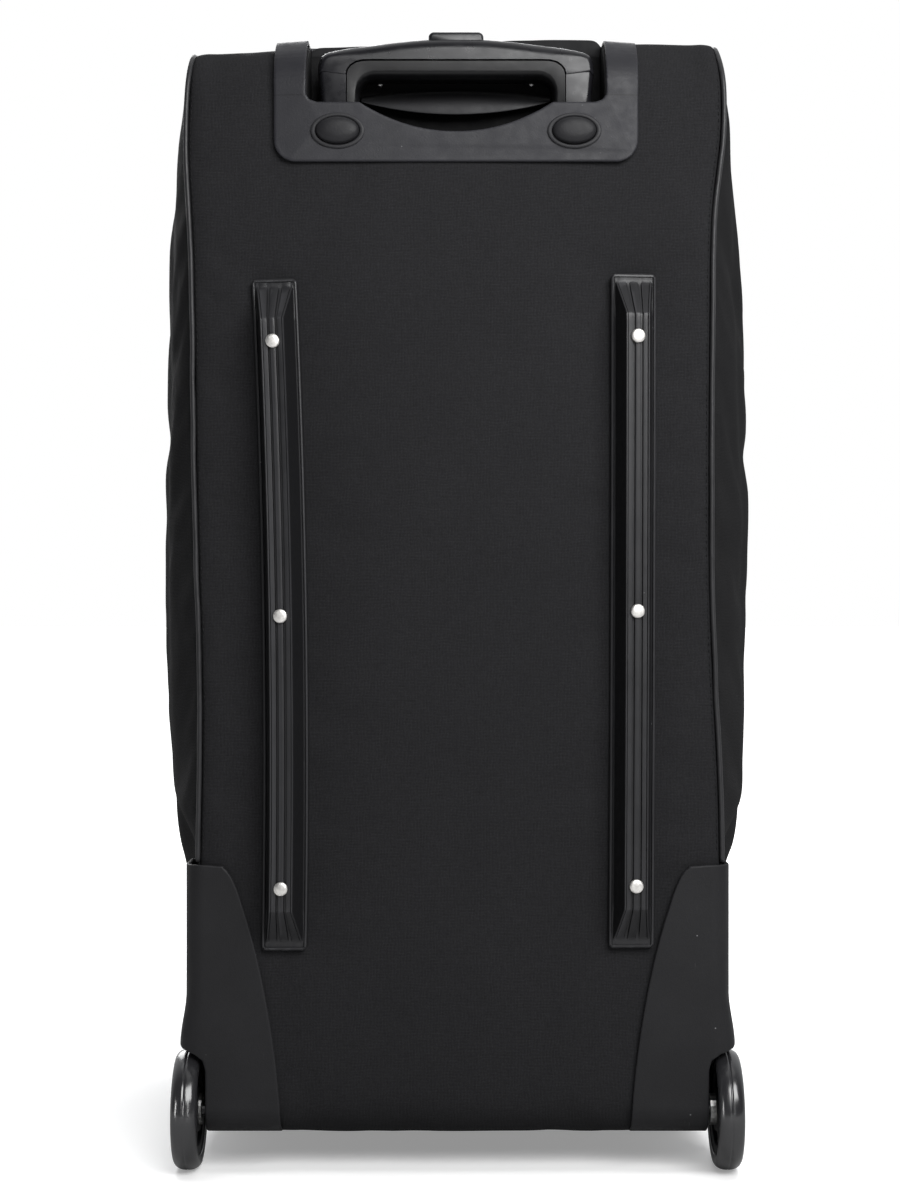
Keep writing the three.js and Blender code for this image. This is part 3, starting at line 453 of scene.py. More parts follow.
def cut_prism(ob, outline, axis, start, end, operation="DIFFERENCE"):
    boolean(ob, raw_solid("cutter", *prism(outline, axis, start, end)), operation)


def moulded(ob, voxel, rounds, keep):
    """Gives a sharp solid the small edge radius of a moulding."""
    remesh = ob.modifiers.new("Remesh", "REMESH")
    remesh.mode = "VOXEL"
    remesh.voxel_size = voxel * 1.0 / 1000
    remesh.adaptivity = 0
    apply_mods(ob)
    soften = ob.modifiers.new("Smooth", "SMOOTH")
    soften.factor, soften.iterations = 0.5, rounds
    apply_mods(ob)
    ob.modifiers.new("Decimate", "DECIMATE").ratio = keep
    apply_mods(ob)
    for face in ob.data.polygons:
        face.use_smooth = True


def solidify(thickness, offset):
    return "SOLIDIFY", {"thickness": thickness, "offset": offset}


def bevel(width, segments, angle=None):
    settings = {"width": width, "segments": segments}
    if angle:
        settings |= {"limit_method": "ANGLE", "angle_limit": radians(angle)}
    return "BEVEL", settings


SUBSURF = ("SUBSURF", {"levels": 1, "render_levels": 1})
THICK = [("SOLIDIFY", {"thickness": 0.0024, "offset": -1.0, "use_even_offset": False}), SUBSURF]


# ------------------------------------------------------------------ cloth
def drape(ob, pin, frames, grow, push, bending, cap, soft):
    """Keeps the result of a cloth simulation. pin is 1 where the cloth is sewn or clamped, soft
    is how strongly the rest holds its shape, and grow makes the cloth larger so that it buckles.
    push takes the place of gravity and cap limits the movement in mm."""
    base = np.array([vertex.co[:] for vertex in ob.data.vertices])
    pin = np.asarray(pin, float).ravel()
    group = ob.vertex_groups.new(name="pin")
    for i, weight in enumerate(np.clip(np.maximum(pin, soft), 0, 1)):
        if weight > 0:
            group.add([i], float(weight), "REPLACE")
    mod = ob.modifiers.new("Cloth", "CLOTH")
    cloth = mod.settings
    cloth.quality = 6
    cloth.mass = 0.3
    cloth.tension_stiffness = cloth.compression_stiffness = 18.0
    cloth.shear_stiffness = 18.0 * 0.4
    cloth.bending_stiffness = bending
    cloth.tension_damping = cloth.compression_damping = 12
    cloth.shear_damping = 8
    cloth.bending_damping = 0.8
    cloth.air_damping = 3
    cloth.vertex_group_mass = "pin"
    cloth.pin_stiffness = 1.0
    cloth.shrink_min = cloth.shrink_max = -grow
    mod.collision_settings.use_collision = False
    mod.collision_settings.use_self_collision = False
    mod.point_cache.frame_start, mod.point_cache.frame_end = 1, frames
    gravity = tuple(scene.gravity)
    scene.gravity = push
    scene.frame_start, scene.frame_end = 1, frames
    for i in range(1, frames + 1):
        scene.frame_set(i)
    draped = ob.evaluated_get(bpy.context.evaluated_depsgraph_get())
    result = np.zeros(len(base) * 3)
    draped.data.vertices.foreach_get("co", result)
    ob.modifiers.remove(mod)
    ob.vertex_groups.remove(group)
    scene.frame_set(1)
    scene.gravity = gravity
    move = result.reshape(-1, 3) - base
    length = np.linalg.norm(move, axis=1)
    limit = cap / 1000.0
    move *= (limit * np.tanh(length / limit) / np.maximum(length, 1e-9))[:, None]
    move *= (1 - np.clip(pin, 0, 1))[:, None]
    ob.data.vertices.foreach_set("co", (base + move).astype(np.float32).ravel())
    ob.data.update()


def drop_faces(ob, test):
    """Removes faces whose centre (x, y, z) passes test."""
    with editing(ob.data) as bm:
        gone = []
        for face in bm.faces:
            centre = face.calc_center_median() * 1000
            if test(centre.x, centre.y + FRAME_Y0, centre.z):
                gone.append(face)
        remove_faces(bm, gone)


def remove_faces(bm, gone):
    bmesh.ops.delete(bm, geom=gone, context="FACES")
    loose = [vertex for vertex in bm.verts if not vertex.link_faces]
    bmesh.ops.delete(bm, geom=loose, context="VERTS")


def cut_outline(ob, outline, keep_inside, min_y=300):
    """Cuts a sheet on the bag's front along an (x, z) outline and keeps one side of it."""
    starts = np.array(outline)
    ends = np.roll(starts, -1, axis=0)
    far = -99.0  # marks vertices behind min_y, which are left alone

    def measure(point):
        """Distance to the outline, positive inside it, and the nearest point on it."""
        run = ends - starts
        part = np.clip(((point - starts) * run).sum(1) / (run * run).sum(1), 0, 1)
        near = starts + run * part[:, None]
        gaps = np.linalg.norm(point - near, axis=1)
        k = int(np.argmin(gaps))
        x, z = point
        inside = False
        for (x0, z0), (x1, z1) in zip(starts, ends):
            if (z0 > z) != (z1 > z) and x < (x1 - x0) * (z - z0) / (z1 - z0) + x0:
                inside = not inside
        return (1 if inside else -1) * gaps[k], near[k]

    with editing(ob.data) as bm:
        distance, nearest = {}, {}
        for vertex in bm.verts:
            place = vertex.co * 1000
            distance[vertex] = far
            if place.y + FRAME_Y0 >= min_y:
                distance[vertex], nearest[vertex] = measure(np.array([place.x, place.z]))

        def crosses(edge):
            one, two = (distance[vertex] for vertex in edge.verts)
            return one * two < 0 and min(one, two) > -90

        # the nearer end of every crossed edge moves onto the outline
        for edge in list(bm.edges):
            if crosses(edge):
                one, two = edge.verts
                closer = one if abs(distance[one]) < abs(distance[two]) else two
                closer.co.x, closer.co.z = nearest[closer] / 1000
                distance[closer] = 0.0
        # and what still crosses is split
        for edge in [edge for edge in bm.edges if crosses(edge)]:
            one, two = edge.verts
            part = abs(distance[one]) / (abs(distance[one]) + abs(distance[two]))
            _, added = bmesh.utils.edge_split(edge, one, part)
            distance[added] = 0.0
        for face in list(bm.faces):
            ends_on = [vertex for vertex in face.verts if distance[vertex] == 0.0]
            if len(ends_on) == 2 and not bm.edges.get(ends_on):
                try:
                    bmesh.utils.face_split(face, *ends_on)
                except ValueError:
                    pass  # guards faces that bmesh refuses to split between these two vertices
        remove_faces(bm, [
            face for face in bm.faces
            if (sum(distance[vertex] for vertex in face.verts) > 0) != keep_inside
        ])


# ------------------------------------------------------------------ shader graphs
class Value:
    """A shader socket; arithmetic on it adds Math nodes."""

    def __init__(self, graph, socket):
        self.graph = graph
        self.socket = socket

    def __add__(self, other):
        return self.graph.math("ADD", self, other)

    def __radd__(self, other):
        return self.graph.math("ADD", other, self)

    def __sub__(self, other):
        return self.graph.math("SUBTRACT", self, other)

    def __mul__(self, other):
        return self.graph.math("MULTIPLY", self, other)

    def __pow__(self, other):
        return self.graph.math("POWER", self, other)

    def remap(self, of, to, kind="LINEAR"):
        inputs = dict(enumerate((self, *of, *to)))
        return self.graph.node("MapRange", inputs, interpolation_type=kind)

    def spread(self, low, high):
        """Maps the range that most noise lies in to low..high."""
        return self.remap(of=(0.3, 0.7), to=(low, high))


class Graph:
    """A small builder for the node tree of a material or world."""

    INPUTS = {
        "color": "Base Color", "rough": "Roughness", "metal": "Metallic", "normal": "Normal",
        "spec": "Specular IOR Level", "sheen": "Sheen Weight", "sheen_rough": "Sheen Roughness",
        "sheen_tint": "Sheen Tint", "glow": "Emission Color", "glow_strength": "Emission Strength",
    }

    def __init__(self, owner, kind="Material"):
        self.owner = owner
        owner.use_nodes = True
        self.tree = owner.node_tree
        self.tree.nodes.clear()
        self.output = self.tree.nodes.new("ShaderNodeOutput" + kind)

    def put(self, socket, value):
        if isinstance(value, Value):
            self.tree.links.new(value.socket, socket)
        elif isinstance(value, tuple) and len(value) == 3 and socket.type == "RGBA":
            socket.default_value = (*value, 1)
        else:
            socket.default_value = value

    def node(self, kind, inputs, output=0, **settings):
        node = self.tree.nodes.new("ShaderNode" + kind)
        for key, value in settings.items():
            setattr(node, key, value)
        for key, value in inputs.items():
            self.put(node.inputs[key], value)
        return Value(self, node.outputs[output])

    def math(self, operation, *values):
        return self.node("Math", dict(enumerate(values)), operation=operation)

    def mix(self, factor, one, two):
        return self.node("Mix", {0: factor, 6: one, 7: two}, 2, data_type="RGBA")

    def mix_value(self, factor, one, two):
        return self.node("Mix", {0: factor, 2: one, 3: two}, data_type="FLOAT")

    def coords(self, kind="Object"):
        return self.node("TexCoord", {}, kind)

    def mapped(self, where, **inputs):
        return self.node("Mapping", {0: where, **inputs})

    def noise(self, where, scale=1.0, detail=2.0, rough=0.5):
        inputs = {"Vector": where, "Scale": scale, "Detail": detail, "Roughness": rough}
        return self.node("TexNoise", inputs)

    def cells(self, where, scale):
        return self.node("TexVoronoi", {"Vector": where, "Scale": scale}, "Distance")

    def xyz(self, where):
        node = self.node("SeparateXYZ", {0: where}).socket.node
        return [Value(self, socket) for socket in node.outputs]

    def vec(self, x, y, z):
        return self.node("CombineXYZ", {0: x, 1: y, 2: z})

    def tinted(self, tone, base):
        return self.vec(*[tone * channel for channel in base])

    def bump(self, height, strength, distance, normal=None):
        inputs = {"Strength": strength, "Distance": distance, "Height": height}
        if normal is not None:
            inputs["Normal"] = normal
        return self.node("Bump", inputs)

    def finish(self, **inputs):
        """Closes a material with a Principled node."""
        named = {self.INPUTS[key]: value for key, value in inputs.items()}
        self.put(self.output.inputs[0], self.node("BsdfPrincipled", named))
        return self.owner


def material_graph(name):
    return Graph(bpy.data.materials.new(name))


def darker(base, part):
    return tuple(channel * part for channel in base)


# ------------------------------------------------------------------ materials
def cloth_material(name, base, pitch=1.0, slub=0.18, rough=0.88, lift=1.0, spec=0.14):
    """Plain weave with slubs along each thread. pitch is the thread spacing in mm, slub the
    depth of the streaks and lift the overall brightness."""
    graph = material_graph(name)
    uv = graph.coords("UV")
    wobble = graph.noise(uv, scale=60.0, detail=0.0)
    x, y, _ = graph.xyz(uv)
    shift = (wobble - 0.5) * 0.0016
    frequency = pi / (pitch / 1000.0)
    warp_wave = graph.math("SINE", (x + shift) * frequency)
    weft_wave = graph.math("SINE", (y - shift) * frequency)
    warp_on_top = (warp_wave * weft_wave).remap(of=(-0.12, 0.12), to=(0.0, 1.0))
    warp_round, weft_round = graph.math("ABSOLUTE", warp_wave), graph.math("ABSOLUTE", weft_wave)
    # each thread is round across and dips along its length
    warp = warp_round**0.6 * graph.math("MULTIPLY_ADD", weft_round, 0.45, 0.55)
    weft = weft_round**0.6 * graph.math("MULTIPLY_ADD", warp_round, 0.45, 0.55)
    height = graph.mix_value(warp_on_top, weft, warp)
    # long thin streaks, one set along each thread direction
    streaks = [
        graph.noise(graph.vec(x * across, y * along, offset), detail=1.0, rough=0.6)
        for across, along, offset in ((1500.0, 150.0, 1.7), (150.0, 1500.0, 7.3))
    ]
    both = streaks[0] * 0.5 + streaks[1] * 0.5
    streak = graph.mix_value(warp_on_top, streaks[1], streaks[0]) * 0.55 + both * 0.45
    cloud = graph.noise(graph.coords(), scale=9.0, rough=0.55)
    grain = graph.noise(uv, scale=800.0, detail=0.0, rough=0.6)
    tone = (1.0 - slub) + streak.spread(0.0, 2.0) * slub
    tone = tone * cloud.spread(0.94, 1.06) * grain.spread(0.88, 1.12)
    tone = tone * height.remap(of=(0.0, 1.0), to=(0.45, 1.18)) * lift
    weave = graph.bump(height * 1.0 + streak * 0.5, strength=0.55, distance=0.00022)
    waves = graph.noise(graph.coords(), scale=28.0, detail=1.0)
    return graph.finish(
        color=graph.tinted(tone, base),
        rough=height.remap(of=(0.0, 1.0), to=(rough + 0.1, rough - 0.08)),
        normal=graph.bump(waves, strength=0.25, distance=0.0012, normal=weave),
        spec=spec, sheen=0.0, sheen_rough=0.45, sheen_tint=(0.75, 0.8, 0.9),
    )


def moulded_material(name, base, rough=0.5, grain=0.35, grain_scale=1500.0, scuff=0.0, spec=0.5,
                     cloud=0.12, line=None, painted_side_shade=1.0, fade=None):
    """Injection moulding with a fine grain and paler edges. scuff is the strength of scratches
    and specks, cloud the uneven tone, line the height (m) of a mould line. The argument after
    line sets the brightness of walls that face sideways, a painted shade on them, and fade gives
    two heights (m) between which a painted shadow darkens the moulding."""
    graph = material_graph(name)
    where = graph.coords()
    fine = graph.noise(where, scale=grain_scale, detail=1.0, rough=0.6)
    coarse = graph.noise(where, scale=grain_scale * 0.45, detail=0.0, rough=0.6)
    big = graph.noise(where, scale=22.0, rough=0.6)
    patches = graph.noise(where, scale=130.0, detail=1.0, rough=0.6)
    color = graph.tinted(big.spread(1 - cloud, 1 + cloud) * fine.spread(0.9, 1.1), base)
    pointiness = graph.node("NewGeometry", {}, "Pointiness")
    edge = pointiness.remap(of=(0.515, 0.60), to=(0.0, 0.4))
    color = graph.mix(edge, color, tuple(channel * 2.6 + 0.01 for channel in base))
    dull = patches.spread(rough - 0.05, rough + 0.06) + (big - 0.5) * 0.15
    if scuff > 0:
        # fine slanting scratches in patches, and pale specks
        slanted = graph.mapped(where, Rotation=(0.3, 0.5, 0.8), Scale=(900.0, 45.0, 60.0))
        scratch = graph.noise(slanted, rough=0.7).remap(of=(0.70, 0.78), to=(0.0, 1.0))
        area = graph.noise(where, scale=14.0, detail=3.0, rough=0.6)
        scratch = scratch * area.remap(of=(0.52, 0.68), to=(0.0, 1.0))
        speck = graph.cells(where, scale=90.0).remap(of=(0.035, 0.06), to=(1.0, 0.0))
        area = graph.noise(where, scale=60.0, detail=1.0)
        speck = speck * area.remap(of=(0.54, 0.6), to=(0.0, 1.0))
        marks = graph.math("MAXIMUM", scratch * 0.6, speck)
        color = graph.mix(marks * scuff, color, (0.33, 0.33, 0.34))
        dull = dull + marks * 0.2
    if line:
        # witness line where two parts of the mould met
        gap = graph.math("ABSOLUTE", graph.xyz(where)[2] - line)
        gap = gap.remap(of=(0.0002, 0.0005), to=(1.0, 0.0))
        color = graph.mix(gap * 0.6, color, darker(base, 0.25))
    # painted shadow: darker and less shiny from the lower height up to the higher one
    if fade:
        deep = graph.xyz(where)[2].remap(of=fade, to=(0.0, 1.0), kind="SMOOTHSTEP")
        color = graph.mix(deep, color, darker(base, 0.12))
        spec = deep.remap(of=(0.0, 1.0), to=(spec, spec * 0.15))
    # painted shade: walls that face sideways are made darker, duller and less shiny
    if painted_side_shade < 1:
        normal = graph.node("NewGeometry", {}, "True Normal")
        side = graph.math("ABSOLUTE", graph.xyz(normal)[0])
        side = side.remap(of=(0.45, 0.85), to=(0.0, 1.0))
        color = graph.mix(side, color, darker(base, painted_side_shade))
        dull = dull + side * 0.3
        spec = side.remap(of=(0.0, 1.0), to=(spec, spec * 0.25))
    grained = graph.bump(fine + coarse * 0.7, strength=grain, distance=0.00016)
    normal = graph.bump(big, strength=0.10, distance=0.0016, normal=grained)
    return graph.finish(color=color, rough=dull, normal=normal, spec=spec)


def metal_material(name, base, rough, brush, amount=0.25, tarnish=0.15):
    """brush is the scale of the brushing along x, y and z, amount its depth."""
    graph = material_graph(name)
    where = graph.coords()
    brushed = graph.noise(graph.mapped(where, Scale=brush), detail=3.0, rough=0.6)
    big = graph.noise(where, scale=90.0, detail=3.0, rough=0.6)
    tone = brushed.spread(0.9, 1.06) * big.remap(of=(0.35, 0.75), to=(1.0, 1.0 - tarnish))
    return graph.finish(
        color=graph.tinted(tone, base), metal=1.0,
        rough=brushed.spread(rough - 0.06, rough + 0.1),
        normal=graph.bump(brushed, strength=amount, distance=0.00006),
    )


def vinyl_material(name, base, rough, scale=900.0, spec=0.4):
    """Coated cord or binding: satin, with a fine wrinkle. scale is that of the grain."""
    graph = material_graph(name)
    where = graph.coords()
    grain = graph.noise(where, scale=scale, detail=3.0, rough=0.6)
    stretched = graph.mapped(where, Scale=(260.0, 260.0, 90.0))
    wrinkle = graph.noise(stretched, detail=3.0, rough=0.55)
    big = graph.noise(where, scale=30.0, detail=3.0)
    grained = graph.bump(grain, strength=0.25, distance=0.00015)
    return graph.finish(
        color=graph.tinted(big.spread(0.85, 1.15) * wrinkle.spread(0.9, 1.1), base),
        rough=wrinkle.spread(rough - 0.06, rough + 0.12),
        normal=graph.bump(wrinkle, strength=0.5, distance=0.0005, normal=grained),
        spec=spec,
    )


def webbing_material(name, base, rib=2.2):
    """Herringbone weave with ribs rib mm apart. UV u runs across the strap and v along it."""
    graph = material_graph(name)
    x, y, _ = graph.xyz(graph.coords("UV"))
    zigzag = graph.math("PINGPONG", x * 1000.0, 4.0)
    ribs = graph.math("SINE", (y * 1000.0 + zigzag) * (2 * pi / rib))
    threads = graph.math("SINE", x * (2 * pi * 1000.0 / 1.2))
    height = ribs * 0.6 + threads * 0.3
    streak = graph.noise(graph.vec(x * 900.0, y * 120.0, 2.0), detail=3.0, rough=0.6)
    tone = height.remap(of=(-0.9, 0.9), to=(0.6, 1.25)) * streak.spread(0.8, 1.2)
    normal = graph.bump(height, strength=0.6, distance=0.00025)
    return graph.finish(color=graph.tinted(tone, base), rough=0.78, normal=normal, spec=0.2)


def tyre_material():
    graph = material_graph("tyre_urethane")
    where = graph.coords()
    grain = graph.noise(where, scale=1400.0, detail=3.0, rough=0.6)
    big = graph.noise(where, scale=60.0, detail=4.0, rough=0.6)
    specks = graph.cells(where, scale=420.0).remap(of=(0.05, 0.09), to=(1.0, 0.0))
    mask = graph.noise(where, scale=55.0).remap(of=(0.5, 0.62), to=(0.0, 1.0))
    return graph.finish(
        color=graph.mix(specks * mask * 0.5, (0.019, 0.019, 0.0208), (0.16, 0.16, 0.16)),
        rough=big.spread(0.14, 0.26),
        normal=graph.bump(grain, strength=0.10, distance=0.0001),
        spec=0.85,
    )


CLOTH = cloth_material("body_cloth", (0.0178, 0.0178, 0.0193))
# the body cloth again, darker and with less shine: painted shade on the sides
SIDE_CLOTH_PAINTED_SHADE = cloth_material("side_cloth", (0.0150, 0.0150, 0.0158), spec=0.08)
LINING = cloth_material("lining_cloth", (0.060, 0.062, 0.068), pitch=0.8, slub=0.2, rough=0.6,
                        spec=0.3)
HANDLE_CLOTH = cloth_material("handle_cloth", (0.017, 0.017, 0.0185), pitch=0.9)
PIPE = vinyl_material("piping_vinyl", (0.0175, 0.0175, 0.0190), rough=0.44, spec=0.46)
BINDING = vinyl_material("binding_tape", (0.014, 0.014, 0.015), rough=0.7, scale=1500.0, spec=0.2)
MOULD = moulded_material("moulding", (0.017, 0.017, 0.019), rough=0.52, grain=0.4, scuff=0.25,
                         spec=0.30)
SURROUND = moulded_material("surround_moulding", (0.0180, 0.0180, 0.0218), rough=0.52, grain=0.4,
                            scuff=0.25, spec=0.32, line=0.7583)
HOUSE = moulded_material("housing_moulding", (0.0142, 0.0142, 0.0156), rough=0.55, grain=0.45,
                         scuff=0.6, spec=0.24)
# the rail's walls that face sideways get painted shade
RAIL = moulded_material("rail_moulding", (0.0180, 0.0180, 0.0198), rough=0.42, grain=0.3,
                        scuff=0.5, spec=0.40, painted_side_shade=0.55)
GRIP = moulded_material("grip_moulding", (0.0078, 0.0078, 0.0096), rough=0.30, grain=0.05,
                        grain_scale=2600.0, scuff=0.06, spec=0.44, cloud=0.08)
# a darker, less glossy copy of the grip moulding: painted shade on the grip's lower half
GRIP_LOW_PAINTED_SHADE = moulded_material("grip_liner_painted_shade_moulding", (0.0048, 0.0048, 0.0054), rough=0.34,
                            grain=0.06, grain_scale=2600.0, scuff=0.06, spec=0.27, cloud=0.08)
# much darker than the other mouldings: painted shade inside the recess
RECESS_PAINTED_SHADE = moulded_material("cup_painted_shade_moulding", (0.0068, 0.0068, 0.0073), rough=0.7, grain=0.3, spec=0.12)
# the wall's moulding, painted darker towards its top as the shadow of the grip
SCOOP = moulded_material("scoop_moulding", (0.017, 0.017, 0.019), rough=0.52, grain=0.4,
                         spec=0.30, fade=(0.7560, 0.7685))
PLUG = moulded_material("plug_moulding", (0.0122, 0.0122, 0.0138), rough=0.46, grain=0.3,
                        spec=0.26)
DARK = moulded_material("inner_moulding", (0.012, 0.012, 0.013), rough=0.55, grain=0.3, spec=0.4)
BOARD = moulded_material("board_sheet", (0.05, 0.05, 0.052), grain=0.2, grain_scale=700.0)
HUB = moulded_material("hub_nylon", (0.010, 0.010, 0.0112), rough=0.48, grain=0.15, spec=0.25)
NICKEL = metal_material("nickel", (0.93, 0.91, 0.88), rough=0.46, brush=(700.0, 700.0, 700.0),
                        amount=0.12, tarnish=0.06)
STEEL = metal_material("zinc_steel", (0.58, 0.58, 0.57), rough=0.32, brush=(500.0, 500.0, 500.0))
ALLOY = metal_material("anodised_alloy", (0.36, 0.365, 0.375), rough=0.36,
                       brush=(1600.0, 1600.0, 16.0), amount=0.35, tarnish=0.08)
ZIP_METAL = metal_material("zip_metal", (0.10, 0.10, 0.105), rough=0.34,
                           brush=(600.0, 600.0, 600.0), tarnish=0.3)
TAPE = webbing_material("zip_tape", (0.017, 0.017, 0.0185), rib=1.4)
WEB = webbing_material("webbing", (0.020, 0.020, 0.022))
TYRE = tyre_material()


# ------------------------------------------------------------------ the bag's form
# heights, then the distance of the side seam from the middle at the back
LEFT_SEAM = curve(
    [25, 221, 263, 319, 376, 432, 506, 537, 575, 612, 649, 668, 687, 705, 724, 742, 761, 785, 798],
    [183, 181.9, 181.2, 180.5, 181.5, 183.3, 184.9, 185.4, 185.8, 186.4, 187.3, 188.2, 189.2,
     190.3, 190.8, 190.5, 189.6, 188.2, 187],
)
RIGHT_SEAM = curve(
    [25, 221, 263, 319, 376, 432, 509, 541, 578, 616, 653, 671, 690, 709, 728, 746, 774, 791, 798],
    [184.5, 187.6, 187.0, 184.4, 181.9, 180.5, 180.4, 180.6, 180.8, 181.1, 181.7, 182.4, 183.7,
     186.0, 188.2, 189.0, 188.2, 186.4, 185.2],
)
# heights, then how far the side bulges out from the middle
LEFT_BULGE = curve(
    [25, 120, 195, 232, 270, 307, 363, 437, 512, 545, 585, 625, 664, 684, 704, 723, 743, 763, 783,
     798],
    [184, 193, 202, 208, 210.5, 212.1, 213.8, 214.4, 214.6, 214.4, 214.2, 213.2, 211.6, 209.6,
     206.6, 204.4, 202.5, 199.5, 194, 188],
)
RIGHT_BULGE = curve(
    [25, 120, 195, 232, 270, 307, 363, 437, 515, 549, 589, 628, 648, 668, 687, 707, 727, 739, 760,
     780, 798],
    [186, 194, 204, 211, 213.6, 214.7, 215.2, 215.4, 215.6, 215.9, 216.2, 215.6, 214.4, 213.4,
     211.4, 208.6, 205.0, 202.6, 198.4, 192.8, 187],
)
# The bag's profile seen from the side, from the base up the back, over the top and down the
# front. line: y, z of both ends and outward y, z; arc: centre y, z, radius, angles in degrees.
PROFILE = [
    ("line", BASE_Y, BOTTOM, BACK_BOTTOM_R, BOTTOM, 0, -1),
    ("arc", BACK_BOTTOM_R, BOTTOM + BACK_BOTTOM_R, BACK_BOTTOM_R, 270, 180),
    ("line", 0, BOTTOM + BACK_BOTTOM_R, 0, TOP - BACK_TOP_R, -1, 0),
    ("arc", BACK_TOP_R, TOP - BACK_TOP_R, BACK_TOP_R, 180, 90),
    ("line", BACK_TOP_R, TOP, DEPTH - FRONT_R, TOP, 0, 1),
    ("arc", DEPTH - FRONT_R, TOP - FRONT_R, FRONT_R, 90, 0),
    ("line", DEPTH, TOP - FRONT_R, DEPTH, BOTTOM + FRONT_R, 1, 0),
    ("arc", DEPTH - FRONT_R, BOTTOM + FRONT_R, FRONT_R, 0, -90),
    ("line", DEPTH - FRONT_R, BOTTOM, BASE_Y, BOTTOM, 0, -1),
]


def rise(z):
    """0 at the bottom and top of the bag, 1 halfway up."""
    return np.maximum(0, np.sin(pi * (np.clip(z, BOTTOM, TOP) - BOTTOM) / (TOP - BOTTOM)))


def front_seam(z):
    """Distance of both side seams from the middle, away from the back."""
    return 187.5 - 6 * np.maximum(0, np.sin(pi * (z - BOTTOM) / (TOP - BOTTOM))) ** 1.5


def half_width(sign, y, z):
    """Distance of the side seam from the middle, sign -1 for the left one."""
    z = np.clip(z, BOTTOM, TOP)
    back = (LEFT_SEAM if sign < 0 else RIGHT_SEAM)(z)
    part = smooth(np.asarray(y, float) / 110.0)
    return back * (1 - part) + front_seam(z) * part


def crown(out_y, out_z, z):
    """How far the middle of the strip between the seams stands out."""
    back = 4 + 5 * rise(z)
    front = 3 + 7 * rise(z)
    top = np.where(out_z > 0, 4 * out_z * out_z, 0)
    return np.where(out_y < 0, back, front) * out_y * out_y + top


def top_span(y):
    """1 over the flat top, fading to 0 at its rounded edges."""
    return smooth((y - 4) / 30) * (1 - smooth((y - 250) / 40))


def hem_rise(x):
    """How far the top cloth stands up where it is hemmed behind the recess."""
    return (4.6 + 1.3 * np.clip(x / 60.0, -1, 1)) * (1 - smooth((np.abs(x) - 100.5) / 6.0))


def walk(first, last, step):
    """Stations (y, z, outward y, outward z) along the profile's segments first..last."""
    stations = []
    for index in range(first, last + 1):
        kind, *shape = PROFILE[index]
        extra = 1 if index == last else 0
        if kind == "line":
            y0, z0, y1, z1, out_y, out_z = shape
            count = max(1, round(math.hypot(y1 - y0, z1 - z0) / step))
            for k in range(count + extra):
                y, z = y0 + (y1 - y0) * k / count, z0 + (z1 - z0) * k / count
                stations.append((y, z, out_y, out_z))
        else:
            y, z, radius, start, end = shape
            count = max(6, round(radius * pi / 2 / step))
            for k in range(count + extra):
                angle = radians(start + (end - start) * k / count)
                out_y, out_z = cos(angle), sin(angle)
                stations.append((y + radius * out_y, z + radius * out_z, out_y, out_z))
    return np.array(stations)


def wrap_points(path, count, fine=True):
    """Points of the strip between the seams, the place across it from -1 to 1, and the distance
    from the nearer seam. fine packs the columns closer near the seams."""
    seam_gap = 1.2
    y, z, out_y, out_z = path.T[:, :, None]
    across = np.linspace(-1, 1, count + 1)
    if fine:
        across = np.sign(across) * (1 - (1 - np.abs(across)) ** 1.25)
    across = across + 0 * y
    left, right = half_width(-1, y, z), half_width(1, y, z)
    x = np.where(across < 0, across * (left - seam_gap), across * (right - seam_gap))
    lift = crown(out_y, out_z, z) * (1 - across**2)
    # the cloth rolls in to meet the cord
    edge = np.minimum(np.where(across < 0, left - np.abs(x), right - np.abs(x)), 40)
    lift = lift - 2.2 * np.exp(-edge / 3.2) * (1 - 0.6 * np.clip(out_z, 0, 1))
    lift = lift + 0.9 * np.exp(-((edge - 9) ** 2) / 18.0)
    # the top leans up to the right, with a swelling near each side
    lean = 0.8 + 3.0 * across + 2.3 * smooth((across - 0.45) / 0.35)
    lean = lean + 1.3 * np.exp(-(((across + 0.66) / 0.2) ** 2))
    lift = lift + np.clip(out_z, 0, 1) * top_span(y) * lean
    # and stands up behind the handle, where it is hemmed round the recess
    lift = lift + np.clip(out_z, 0, 1) * hem_rise(x) * (1 - smooth((y - 46) / 60)) * (y > 40)
    return np.stack([x, y + out_y * lift, z + out_z * lift], axis=2), across, edge


HOUSING_TOP = 218.0
WING_Z = [10, 40, 80, 122, 165, 200, 212, 218]
WING_Y = [119, 118, 112, 100, 82, 62, 50, 38]


def wing(z):
    """How far forward the wheel housing covers the side cloth."""
    return np.interp(z, WING_Z, WING_Y)


def side_x(sign, y, z):
    """Distance of the side cloth from the middle."""
    bulge = (LEFT_BULGE if sign < 0 else RIGHT_BULGE)(z)
    full = (bulge - 1.6 - half_width(sign, 90.0, z)) / 0.906
    belly = 1 - np.abs(np.clip(2 * y / DEPTH - 1, -1, 1)) ** 3
    clear = np.maximum((y - wing(z) - 4) / 75, (z - HOUSING_TOP + 3) / 46)
    clear = smooth(np.minimum(1, np.maximum(0, clear)))
    ends = smooth(np.minimum(z - BOTTOM, TOP - z) / 18 + 0.25)
    return half_width(sign, y, z) + 0.6 + full * belly * clear * ends


def row_span(z, inset):
    """First and last y of the side panel at height z."""
    low, high = BOTTOM + inset, TOP - inset

    def corner(low_radius, high_radius):
        below, above = max(low_radius - inset, 2), max(high_radius - inset, 2)
        if z < low + below:
            return below - sqrt(max(0, below**2 - (low + below - z) ** 2))
        if z > high - above:
            return above - sqrt(max(0, above**2 - (z - high + above) ** 2))
        return 0.0

    return inset + corner(BACK_BOTTOM_R, BACK_TOP_R), DEPTH - inset - corner(FRONT_R, FRONT_R)


